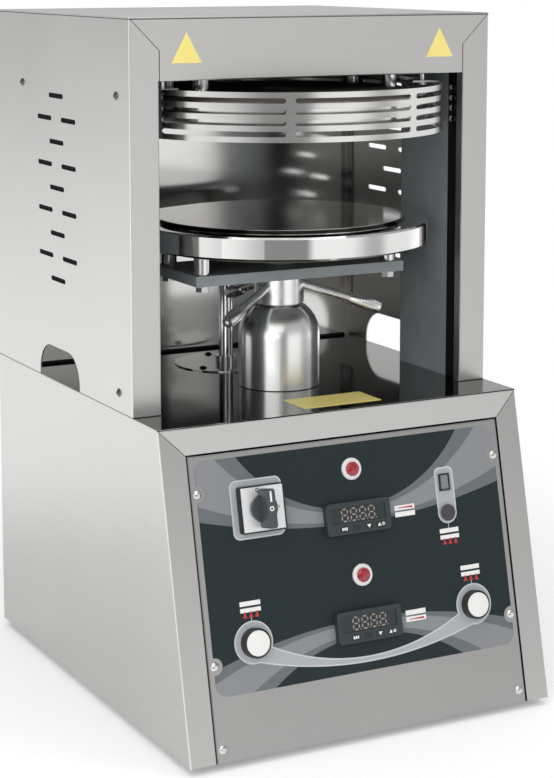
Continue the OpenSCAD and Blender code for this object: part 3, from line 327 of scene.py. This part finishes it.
# Painted shade: a thin black sheet behind the vents of the left side, so that they look black
# outside.
SHADE_SHEET_LOW, SHADE_SHEET_HIGH = Vector((-0.2184, -0.0085, 0.435)), Vector((-0.2164, 0.1325, 0.698))
shade_sheet_build = bmesh.new()
bmesh.ops.create_cube(shade_sheet_build, size=1.0, matrix=Matrix.Translation((SHADE_SHEET_LOW + SHADE_SHEET_HIGH) / 2)
                      @ Matrix.Diagonal((*(SHADE_SHEET_HIGH - SHADE_SHEET_LOW), 1)))
vent_shade_sheet = built("vent_shade_sheet", shade_sheet_build)
vent_shade_black = Finish("vent_shade_black", printed(22, 22, 22), roughness=0.9, gloss=0.2)
vent_shade_black.bump(vent_shade_black.place.noise(700.0, 3.0) * 0.0004)
vent_shade_black.dress(vent_shade_sheet)
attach(vent_shade_sheet, "cabinet")

foot_rubber = Finish("foot_rubber", printed(30, 30, 31), roughness=0.8)
foot_rubber.bump(foot_rubber.place.noise(900.0, 3.0) * 0.0001)
foot_rubber.dress("rubber_feet")


# Deck: one polished sheet over the base, folded down in front. It mirrors the column above it,
# with the slight waves of a thin sheet. The band in front is brushed like the base.
DECK_COLOUR, DECK_BAND, DECK_BEND_SHADE = (
    printed(188, 187, 185), printed(236, 235, 233), printed(58, 57, 56))
deck_polish = Finish("polished_deck", DECK_COLOUR, metallic=1.0, roughness=0.07, edge=0.7)
deck_y = deck_polish.place.split()[1]
band = 1 - deck_y.step(-0.2062, -0.2054)
# Painted shade: a dark line along the bend at the deck's front edge.
painted_bend_shade = deck_y.step(-0.2058, -0.2054) - deck_y.step(-0.2048, -0.2044)
deck_polish.feed("Base Color", painted_bend_shade.tint(band.tint(DECK_COLOUR, DECK_BAND), DECK_BEND_SHADE))
deck_smear = deck_polish.place.noise(14.0, 4.0)
band_scratch = deck_polish.place.noise(ALONG_SHEET, 3.0)
deck_polish.feed("Roughness", 0.04 + deck_smear.step(0.35, 0.8) * 0.06
                 + band * (0.2 + band_scratch * 0.1))
deck_polish.bump(deck_polish.place.noise(7.0, 1.0) * 0.0001)
deck_polish.dress("deck")


# Inner back wall: bright rolled sheet behind the column, flanged to the housing's sides. Its
# upright grain draws the reflections out sideways. A dark bead seals its foot to the deck.
WALL_Y, DECK_TOP = 0.1715, 0.3435
WALL_COLOUR, FLANGE_SHADE = printed(222, 221, 219), printed(128, 127, 125)
wall_steel = Finish("bright_rolled_wall", WALL_COLOUR, metallic=1.0, roughness=0.12, edge=0.9)
wall_smear = wall_steel.place.noise((5.0, 5.0, 11.0), 3.0)
wall_steel.feed("Roughness", 0.12 + wall_smear.step(0.3, 0.75) * 0.06)
wall_steel.shader["Anisotropic"].default_value = 0.7
wall_steel.bump(wall_steel.place.noise((900.0, 900.0, 6.0)) * 0.00002
                + wall_steel.place.noise((4.0, 4.0, 6.0), 1.5) * 0.0008)
wall_depth = wall_steel.place.split()[1]
# Painted shade: the flanges, in front of the wall's face, are coloured dark.
wall_steel.feed("Base Color", wall_depth.step(WALL_Y - 0.0004, WALL_Y - 0.0002).tint(
    FLANGE_SHADE, WALL_COLOUR))
wall_steel.dress("inner_back_wall")

BEAD_R, BEAD_STEPS = 0.0035, 6
wall_low, wall_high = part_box("inner_back_wall")
bead_build = bmesh.new()
bead_turns = [math.radians(90 / BEAD_STEPS * i) for i in range(BEAD_STEPS + 1)]
bead_curve = [(BEAD_R * (1 - math.sin(turn)), BEAD_R * (1 - math.cos(turn)))
              for turn in bead_turns] + [(0.0, 0.0)]
bead_ends = [[bead_build.verts.new((x, WALL_Y - forward, DECK_TOP + up))
              for forward, up in bead_curve]
             for x in (wall_low.x + BEAD_R, wall_high.x - BEAD_R)]
for bead_end in bead_ends:
    bead_build.faces.new(bead_end)
bead_left, bead_right = bead_ends
for i in range(len(bead_curve)):
    bead_build.faces.new((bead_left[i - 1], bead_left[i], bead_right[i], bead_right[i - 1]))
bmesh.ops.recalc_face_normals(bead_build, faces=bead_build.faces)
wall_bead = built("wall_bead", bead_build)
bead_rubber = Finish("sealing_bead", printed(26, 26, 26), roughness=0.5)
bead_rubber.mottle(0.4, 0.2, 120.0)
bead_rubber.dress(wall_bead)
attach(wall_bead, "cabinet")


# Press frame: two uprights, the crosshead and the base beam, sawn from thick steel bar and
# painted slate grey with a fine orange peel. The front edges of the uprights are coloured
# near-black as painted shade.
slate_paint = Finish("slate_paint", printed(140, 147, 150), roughness=0.42)
slate_wear = slate_paint.place.noise(16.0, 3.0)
frame_x, frame_y, _ = slate_paint.place.split()
painted_shade_edge = (1 - frame_y.step(-0.1063, -0.1059)) * abs(frame_x).step(0.188, 0.190)
slate_colour = slate_wear.step(0.3, 0.75).tint(printed(132, 139, 142), printed(148, 155, 158))
slate_paint.feed("Base Color", painted_shade_edge.tint(slate_colour, printed(24, 25, 26)))
slate_paint.feed("Roughness", 0.38 + slate_wear * 0.12)
slate_paint.bump(slate_paint.place.noise(420.0) * 0.00004)
slate_paint.dress("left_upright", "right_upright", "base_beam", "crosshead", "support_plate")

bolt_zinc = Finish("zinc_bolts", printed(206, 207, 208), metallic=1.0, roughness=0.3)
bolt_zinc.mottle(0.2, 0.16, 260.0)
bolt_zinc.dress("frame_bolts", "support_bolts")


# Pressing plates: thick discs turned on a lathe and chromed. The pressing face keeps the faint
# rings of the tool and is satin, and the rims are polished.
def turned(name, colour, roughness, ring_depth):
    """Chromed metal with the fine rings that a lathe leaves round the press axis."""
    metal = Finish(name, colour, metallic=1.0, roughness=roughness)
    across, along, metal.height = metal.place.split()
    metal.radius = across.length_with(along - PRESS_AXIS_Y)
    rings = metal.radius.node("ShaderNodeCombineXYZ", inputs={
        0: metal.radius, 2: metal.height}).noise((1500.0, 1.0, 700.0))
    smear = metal.place.noise(18.0, 3.0)
    metal.rough = roughness + (rings - 0.5) * 0.05 + (smear - 0.4) * 0.06
    metal.feed("Roughness", metal.rough)
    metal.bump(rings * ring_depth)
    return metal


upper_chrome = turned("turned_upper_plate", printed(226, 225, 223), 0.14, 0.000005)
upper_chrome.dress("upper_plate")

DISC_FOOT_Z, DISC_SIDE_R = 0.5345, 0.1432
PLATE_COLOUR, DISC_SIDE_SHADE = printed(232, 231, 230), printed(46, 45, 44)
plate_chrome = turned("turned_lower_plate", PLATE_COLOUR, 0.06, 0.000004)
plate_chrome.feed("Roughness", plate_chrome.rough + plate_chrome.height.step(
    DISC_FOOT_Z - 0.0004, DISC_FOOT_Z + 0.0004) * 0.06)
# Painted shade: the side of the raised pressing disc is coloured dark.
painted_disc_side_shade = (plate_chrome.height.step(DISC_FOOT_Z - 0.0012, DISC_FOOT_Z - 0.0010)
             * (1 - plate_chrome.height.step(DISC_FOOT_Z + 0.0024, DISC_FOOT_Z + 0.0028))
             * (1 - plate_chrome.radius.step(DISC_SIDE_R, DISC_SIDE_R + 0.0002)))
plate_chrome.feed("Base Color", painted_disc_side_shade.tint(PLATE_COLOUR, DISC_SIDE_SHADE))
plate_chrome.dress("lower_plate")

heater_mica = Finish("heater_mica", printed(80, 75, 66), roughness=0.7)
heater_mica.feed("Base Color", heater_mica.place.noise((120.0, 120.0, 400.0), 4.0).tint(
    printed(66, 62, 55), printed(92, 86, 76)))
heater_mica.dress("upper_heater", "lower_heater")


# Bright bars: pillars, spacers, hangers, guide rod and ram are turned steel with a chrome finish.
# The adjusting collar and its handles are satin.
for name, colour, smoothest, grain, depth, pieces in (
    ("chrome_bar", printed(232, 232, 231), 0.08, (300.0, 300.0, 1500.0), 0.000006,
     ("upper_pillars", "lower_spacers", "ring_hangers", "guide_bush", "guide_rod", "ram",
      "thrust_bearing")),
    ("satin_bar", printed(246, 246, 245), 0.22, 900.0, 0.000001,
     ("adjusting_collar", "handle_rods", "handle_grips")),
):
    bar_steel = Finish(name, colour, metallic=1.0, roughness=smoothest)
    bar_smear = bar_steel.place.noise(60.0, 3.0)
    bar_steel.feed("Roughness", smoothest + bar_smear.step(0.3, 0.8) * 0.12)
    bar_steel.bump(bar_steel.place.noise(grain) * depth)
    bar_steel.dress(*pieces)


# Screws: stainless button heads with hexagon sockets, bought in. Those of the case are coloured
# darker than the panel's as painted shade, and those of the round cover on the deck are blackened.
COVER_Y, COVER_R = 0.0805, 0.060
CASE_SCREW_SHADED, COVER_SCREW = printed(112, 112, 111), printed(44, 43, 42)
screw_steel = Finish("screw_steel", CASE_SCREW_SHADED, metallic=1.0, roughness=0.16)
screw_x, screw_y, _ = screw_steel.place.split()
on_cover = 1 - screw_x.length_with(screw_y - COVER_Y).step(COVER_R, COVER_R + 0.002)
screw_steel.feed("Base Color", on_cover.tint(CASE_SCREW_SHADED, COVER_SCREW))
screw_steel.mottle(0.12, 0.12, 500.0)
screw_steel.dress("case_screws")
panel_screw_steel = Finish("panel_screw_steel", printed(232, 232, 231), metallic=1.0, roughness=0.2)
panel_screw_steel.mottle(0.12, 0.12, 500.0)
panel_screw_steel.dress("panel_screws")


# Guard ring: a slotted steel strip rolled to a ring and brushed along its length. Four tabs hang
# it on shouldered bolts under the crosshead. The strip's normal is that of a true circle.
ring_steel = brushed("brushed_ring_steel", printed(226, 225, 223), 0.2)
ring_x, ring_y, _ = ring_steel.place.split()
outward = ring_x.node("ShaderNodeCombineXYZ", inputs={
    0: ring_x, 1: ring_y - PRESS_AXIS_Y}).vector("NORMALIZE")
facet = ring_x.node("ShaderNodeNewGeometry", output="True Normal")
facing = facet.vector("DOT_PRODUCT", outward, output=1)
rolled = abs(facing).step(0.9, 0.96)
round_normal = rolled.node("ShaderNodeMix", {"data_type": "VECTOR"}, {
    0: rolled, 4: facet, 5: outward.vector("SCALE", Scale=facing.sum("SIGN", facing))}, 1)
ring_steel.feed("Normal", round_normal)
ring_steel.dress("guard_ring")


# Bell and round cover: the bell is turned aluminium over the ram, and the cover is a satin disc
# round the guide rod's bush, both fixed to the deck.
BELL_COLOUR, BELL_SEAM = printed(246, 247, 246), printed(60, 61, 61)
bell_aluminium = turned("turned_bell", BELL_COLOUR, 0.25, 0.000004)
bell_aluminium.shader["Anisotropic"].default_value = 0.6
bell_aluminium.shader["Anisotropic Rotation"].default_value = 0.25
bell_aluminium.feed("Base Color", bell_aluminium.height.step(
    DECK_TOP + 0.0004, DECK_TOP + 0.0012).tint(BELL_SEAM, BELL_COLOUR))
bell_aluminium.dress("bell")
cover_steel = brushed("polished_cover", printed(204, 203, 201), 0.12, (900.0, 14.0, 14.0))
cover_steel.dress("guide_cover")


# Drive and wiring inside the base: worm gearbox, motor, lead screw with bronze nut and bushes,
# and the electric tray. They are plain workshop finishes, seen only with the panels off.
cast_paint = Finish("cast_housing", printed(112, 120, 125), roughness=0.6)
cast_paint.bump(cast_paint.place.noise(300.0, 4.0) * 0.00016)
cast_paint.dress("gearbox", "gearbox_posts", "drive_motor", "lead_screw")

BRONZE, OILED_BRONZE = printed(184, 142, 82), printed(44, 38, 30)
bush_bronze = Finish("turned_bronze", BRONZE, metallic=1.0, roughness=0.3)
bush_bronze.mottle(0.24, 0.14, (90.0, 90.0, 1500.0))
bush_height = bush_bronze.place.split()[2]
bush_bronze.feed("Base Color", bush_height.step(0.41, 0.42).tint(BRONZE, OILED_BRONZE))
bush_bronze.dress("ram_bushes", "ram_nut")

tray_plastic = Finish("switchgear_plastic", printed(150, 154, 156), roughness=0.55)
tray_plastic.feed("Base Color", tray_plastic.place.noise(200.0, 3.0).tint(
    printed(140, 144, 146), printed(160, 164, 166)))
tray_plastic.dress("electric_tray")


# Printed film on the control panel: dark green-grey with plain arcs in two greys behind the
# controllers, and pale fields round the switch, the timer and the push buttons. A lighter line
# just inside each pale field is a painted highlight of its embossed edge.
EDGE_BLUR, EDGE_INSET, EDGE_HALF = 0.14, 0.9, 0.6
BUTTON_U, BUTTON_V = 135.5, 116
FILM_DARK, FILM_BAND, FILM_STRIP, FILM_PALE, FILM_EDGE_HIGHLIGHT = (
    printed(36, 47, 48), printed(138, 140, 143), printed(106, 112, 115), printed(172, 176, 178),
    printed(204, 207, 208))
film = Finish("printed_film", FILM_DARK, roughness=0.45, gloss=0.2)
film_x, film_y, film_z = film.place.split()
film_u = film_x * 1000
film_v = ((film_y - PANEL_FOOT[1]) * (1000 * math.sin(FRONT_SLOPE))
          + (film_z - PANEL_FOOT[2]) * (1000 * math.cos(FRONT_SLOPE)))


def disc(v, radius, u=0.0):
    """How far a point of the film lies outside a circle, in millimetres."""
    return (film_u - u).length_with(film_v - v) - radius


def shown(distance):
    return 1 - distance.step(-EDGE_BLUR, EDGE_BLUR)


def crescent(outer, inner):
    return outer.most(0 - inner)


def field(u, v, half_u, half_v, corner):
    over_u = (abs(film_u - u) - (half_u - corner)).most(0)
    over_v = (abs(film_v - v) - (half_v - corner)).most(0)
    return over_u.length_with(over_v) - corner


upper_outer, upper_inner = disc(939, 717), disc(405, 167)
lower_outer, lower_inner = disc(-497.6, 618.6), disc(-89, 193)
bands = crescent(upper_outer, upper_inner).least(crescent(lower_outer, lower_inner))
upper_strips = crescent(disc(445.5, 211), upper_inner).least(crescent(upper_outer, disc(701, 476)))
lower_strips = crescent(disc(-149.4, 256.9), lower_inner).least(
    crescent(lower_outer, disc(-346.5, 464.5)))
switch_field = field(-115.7, 252.5, 30.5, 31.0, 8.0)
timer_field = field(114.5, 243.9, 12.0, 24.7, 6.0).least(disc(219.0, 12.0, 114.5))
button_fields = disc(BUTTON_V, 22.5, -BUTTON_U).least(disc(BUTTON_V, 22.5, BUTTON_U))
button_sweep = crescent(disc(537, 462), disc(335.5, 254)).most(film_v - BUTTON_V).most(
    abs(film_u) - 140)
pale = switch_field.least(timer_field).least(button_fields).least(button_sweep)
banded = shown(bands).tint(FILM_DARK, FILM_BAND)
striped = shown(upper_strips.least(lower_strips)).tint(banded, FILM_STRIP)
filled = shown(pale).tint(striped, FILM_PALE)
# Painted highlight: a lighter line just inside the rim of each pale field.
film.feed("Base Color", shown(abs(pale + EDGE_INSET) - EDGE_HALF).tint(filled, FILM_EDGE_HIGHLIGHT))
film.mottle(0.4, 0.12, 700.0)
film.dress("panel_overlay")


# Main switch: a black frame with a silver plate, and a black knob whose grip carries a white
# pointer. The plate has a ring and a short bar for off and on.
panel_place = Matrix.Translation(PANEL_FOOT) @ Matrix.Rotation(math.pi / 2 - FRONT_SLOPE, 4, "X")


def cut_sheet(name, shapes, low, high, place=panel_place):
    """Thin flat pieces on a face, in millimetres across and up it, from one height to another
    above it. A shape is an outline, or an outline with the outline of its hole."""
    build = bmesh.new()
    for shape in shapes:
        rims = shape if isinstance(shape, tuple) else (shape,)
        levels = [[[build.verts.new(place @ (Vector((u, v, n)) * 0.001)) for u, v in rim]
                   for rim in rims] for n in (low, high)]
        for level in levels:
            if len(rims) == 1:
                build.faces.new(level[0])
            else:
                for i in range(len(level[0])):
                    build.faces.new((level[0][i - 1], level[0][i], level[1][i], level[1][i - 1]))
        for below, above in zip(*levels):
            for i in range(len(below)):
                build.faces.new((below[i - 1], below[i], above[i], above[i - 1]))
    bmesh.ops.recalc_face_normals(build, faces=build.faces)
    return built(name, build)


def circle(u, v, radius, count=32):
    turns = [math.tau * i / count for i in range(count)]
    return [(u + radius * math.cos(turn), v + radius * math.sin(turn)) for turn in turns]


def box(u, v, width, height):
    return [(u - width / 2, v - height / 2), (u + width / 2, v - height / 2),
            (u + width / 2, v + height / 2), (u - width / 2, v + height / 2)]


def rounded_box(u, v, width, height, corner, steps=6):
    outline = []
    for su, sv, start in ((1, 1, 0), (-1, 1, 90), (-1, -1, 180), (1, -1, 270)):
        for i in range(steps + 1):
            turn = math.radians(start + 90 * i / steps)
            outline.append((u + su * (width / 2 - corner) + corner * math.cos(turn),
                            v + sv * (height / 2 - corner) + corner * math.sin(turn)))
    return outline


black_plastic = Finish("black_plastic", printed(34, 35, 36), roughness=0.42)
black_grain = black_plastic.place.noise(1100.0)
black_plastic.feed("Roughness", 0.36 + black_grain * 0.14)
black_plastic.bump(black_grain * 0.000024)
black_plastic.dress("switch_body", "timer_display", "button_bodies", "cable_gland")
knob_plastic = Finish("knob_plastic", printed(72, 75, 79), roughness=0.32)
knob_plastic.mottle(0.26, 0.14, 1100.0)
knob_plastic.dress("switch_knob")

switch_silver = brushed("switch_plate_silver", printed(244, 245, 246), 0.3, (2400.0, 12.0, 12.0))
switch_silver.shader["Metallic"].default_value = 0.5
switch_silver.dress("switch_plate")


def ink(name, colour, smoothest):
    made = Finish(name, colour, roughness=smoothest)
    made.mottle(smoothest, 0.12, 900.0)
    return made


SWITCH_U, SWITCH_V = -112.68, 251.90
PLATE_N, KNOB_TOP_N = 8.0, 28.5
OFF_U, OFF_V = SWITCH_U - 5.0, SWITCH_V + 19.6
white_print = ink("white_print", printed(236, 236, 234), 0.4)
black_print = ink("black_print", printed(40, 41, 43), 0.44)

switch_marks = cut_sheet("switch_marks", [
    (circle(OFF_U, OFF_V, 2.0), circle(OFF_U, OFF_V, 1.1)),
    box(SWITCH_U + 18.6, SWITCH_V, 0.8, 3.6),
], PLATE_N - 0.1, PLATE_N + 0.06)
black_print.dress(switch_marks)
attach(switch_marks, "cabinet")

knob_pointer = cut_sheet("knob_pointer", [
    box(SWITCH_U, SWITCH_V + 12.4, 2.2, 11.0),
    (circle(SWITCH_U, SWITCH_V, 2.6), circle(SWITCH_U, SWITCH_V, 1.3)),
], KNOB_TOP_N - 0.2, KNOB_TOP_N + 0.08)
white_print.dress(knob_pointer)
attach(knob_pointer, "switch_knob")


# Temperature controllers: slate plastic cases with four unlit figures and a row of membrane keys
# under them. The lamps above are red lenses in bright bezels.
controller_plastic = Finish("controller_plastic", printed(46, 56, 59), roughness=0.5)
controller_grain = controller_plastic.place.noise(1300.0)
controller_plastic.feed("Roughness", 0.44 + controller_grain * 0.14)
controller_plastic.bump(controller_grain * 0.000024)
controller_plastic.dress("controllers")
window_tint = Finish("controller_window", printed(38, 46, 48), roughness=0.3)
window_tint.mottle(0.24, 0.12, 500.0)
window_tint.dress("controller_windows")

# A figure has seven bars, each with its start across and up the figure, and whether it is upright.
WINDOW_N = 6.5
CONTROLLER_V = (114.50, 228.69)
FIGURE_W, FIGURE_H, FIGURE_PITCH, FIGURE_STROKE = 6.9, 12.8, 11.0, 1.7
FIGURE_LEFT, FIGURE_DROP = -20.0, 2.9
FIGURE_BARS = ((0, 0, 0), (0, 0.5, 0), (0, 1, 0), (0, 0, 1), (0, 0.5, 1), (1, 0, 1), (1, 0.5, 1))
figures = []
for middle in CONTROLLER_V:
    for i in range(4):
        left, foot = FIGURE_LEFT + i * FIGURE_PITCH, middle - FIGURE_DROP
        for across, up, upright in FIGURE_BARS:
            start_u, start_v = left + across * FIGURE_W, foot + up * FIGURE_H
            run = FIGURE_H / 2 if upright else FIGURE_W
            half = FIGURE_STROKE / 2
            bar = [(half * 1.2, 0), (half * 2.2, -half), (run - half * 2.2, -half),
                   (run - half * 1.2, 0), (run - half * 2.2, half), (half * 2.2, half)]
            figures.append([(start_u - y, start_v + x) if upright else (start_u + x, start_v + y)
                            for x, y in bar])
        figures.append(circle(left + FIGURE_W + 2.0, foot, 0.7, 12))
unlit_figures = cut_sheet("unlit_figures", figures, WINDOW_N - 0.1, WINDOW_N + 0.05)
figure_grey = ink("unlit_figure", printed(146, 137, 131), 0.44)
figure_grey.dress(unlit_figures)
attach(unlit_figures, "cabinet")

# The keys carry three small bars, an arrow down, and an arrow up beside a ring. One is plain.
BEZEL_N = 7.5
KEY_U, KEY_DROP = (-18.6, -3.7, 11.2, 26.1), 10.9
keys, key_signs = [], []
for middle in CONTROLLER_V:
    key_v = middle - KEY_DROP
    for key_u in KEY_U:
        keys.append(rounded_box(key_u, key_v, 10.8, 6.6, 1.4))
    bars_u, _, down_u, up_u = KEY_U
    for shift in (-2.4, 0.0, 2.4):
        key_signs.append(box(bars_u + shift, key_v, 1.7, 3.0))
    key_signs.append([(down_u - 2.4, key_v + 1.7), (down_u, key_v - 2.1),
                      (down_u + 2.4, key_v + 1.7)])
    key_signs.append([(up_u - 4.2, key_v - 1.6), (up_u + 0.2, key_v - 1.6),
                      (up_u - 2.0, key_v + 2.0)])
    key_signs.append((circle(up_u + 2.8, key_v + 0.2, 1.7, 16),
                      circle(up_u + 2.8, key_v + 0.2, 0.8, 16)))
membrane_keys = cut_sheet("membrane_keys", keys, BEZEL_N - 0.1, BEZEL_N + 0.12)
black_print.dress(membrane_keys)
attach(membrane_keys, "cabinet")
key_marks = cut_sheet("key_marks", key_signs, BEZEL_N + 0.05, BEZEL_N + 0.17)
white_print.dress(key_marks)
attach(key_marks, "cabinet")

lamp_bright = Finish("lamp_bezel", printed(230, 230, 229), metallic=0.15, roughness=0.3)
lamp_bright.mottle(0.26, 0.08, 90.0, 1.0)
lamp_bright.dress("lamp_bezels")
lamp_red = Finish("red_lens", printed(176, 34, 44), roughness=0.12, coat=0.6)
lens_facets = lamp_red.place.noise(420.0, 1.0)
lamp_red.feed("Base Color", lens_facets.step(0.35, 0.65).tint(
    printed(136, 18, 30), printed(182, 48, 58)))
lamp_red.bump(lens_facets * 0.0003)
lamp_red.dress("lamp_lenses")


# Timer and push buttons: a small framed window with a round set button below it, and two white
# caps in deep black bezels that are pressed together to start the press.
timer_face = Finish("timer_face", printed(124, 130, 132), roughness=0.25)
timer_face.mottle(0.2, 0.12, 500.0)
timer_face.dress("timer_window")
set_button = Finish("timer_button", printed(66, 66, 71), roughness=0.45)
set_button.bump(set_button.place.noise(1100.0) * 0.000024)
set_button.dress("timer_button")
white_cap = Finish("white_cap", printed(236, 236, 233), roughness=0.3)
white_cap.mottle(0.24, 0.14, 400.0)
white_cap.dress("left_button", "right_button")


# Printed signs on the film: plain white bars with red marks beside the controllers, over the
# buttons and under the timer, and hairlines that link them. They are raised ink.
FILM_N = 0.5
BAR_SIGN_U, TIMER_SIGN_U = 61.0, 114.2
white_signs, red_signs = [], []
for middle, hot in ((227.6, 1), (115.0, -1)):
    white_signs += [box(BAR_SIGN_U, middle + 3.6, 25.0, 5.2),
                    box(BAR_SIGN_U, middle - 3.4, 25.0, 5.2)]
    stripe_v = middle + 3.6 * hot
    red_signs.append([(52.0, stripe_v - 0.3), (71.0, stripe_v - 1.1),
                      (71.0, stripe_v + 1.1), (52.0, stripe_v + 0.3)])
for sign_u, sign_v in ((-BUTTON_U, 150.0), (BUTTON_U, 150.0), (TIMER_SIGN_U, 193.0)):
    white_signs += [box(sign_u, sign_v + 6.4, 24.0, 4.8), box(sign_u, sign_v - 0.4, 24.0, 4.4)]
    for shift in (-7.0, 0.0, 7.0):
        mark_u = sign_u + shift
        red_signs.append([(mark_u - 2.6, sign_v - 8.2), (mark_u + 2.6, sign_v - 8.2),
                          (mark_u + 1.0, sign_v - 5.0), (mark_u + 1.0, sign_v - 2.0),
                          (mark_u - 1.0, sign_v - 2.0), (mark_u - 1.0, sign_v - 5.0)])
hairlines = [box(-BUTTON_U, 140.2, 0.5, 3.4), box(BUTTON_U, 140.2, 0.5, 3.4),
             box(TIMER_SIGN_U, 204.0, 0.5, 5.2)]
ink_white = cut_sheet("sign_bars", white_signs + hairlines, FILM_N - 0.05, FILM_N + 0.05)
white_print.dress(ink_white)
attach(ink_white, "cabinet")
ink_red = cut_sheet("sign_marks", red_signs, FILM_N - 0.05, FILM_N + 0.09)
red_print = ink("red_print", printed(188, 52, 58), 0.4)
red_print.dress(ink_red)
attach(ink_red, "cabinet")


# Bare sign plates: thin yellow sheet, two triangles on the header and one strip on the deck,
# stuck down flat. They carry no words or pictures.
SIGN_BACK, SIGN_FACE = -0.2, 0.4
SIGN_HALF, SIGN_FOOT, SIGN_TIP = 17.5, 714.5, 746.5
HEADER_FRONT_Y = -0.143
sign_yellow = Finish("yellow_sign", printed(246, 230, 136), roughness=0.4)
sign_yellow.feed("Base Color", sign_yellow.place.noise(60.0, 3.0).tint(
    printed(242, 224, 126), printed(250, 236, 146)))
header_place = Matrix.Translation((0, HEADER_FRONT_Y, 0)) @ Matrix.Rotation(math.pi / 2, 4, "X")
for name, middle in (("left_sign", -155.0), ("right_sign", 155.0)):
    sign = cut_sheet(name, [[(middle - SIGN_HALF, SIGN_FOOT), (middle + SIGN_HALF, SIGN_FOOT),
                             (middle, SIGN_TIP)]], SIGN_BACK, SIGN_FACE, header_place)
    sign_yellow.dress(sign)
    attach(sign, "cabinet")
deck_place = Matrix.Translation((0, 0, DECK_TOP))
deck_sign = cut_sheet("deck_sign", [box(10.0, -161.5, 96.0, 48.0)], SIGN_BACK, SIGN_FACE,
                      deck_place)
sign_yellow.dress(deck_sign)
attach(deck_sign, "cabinet")
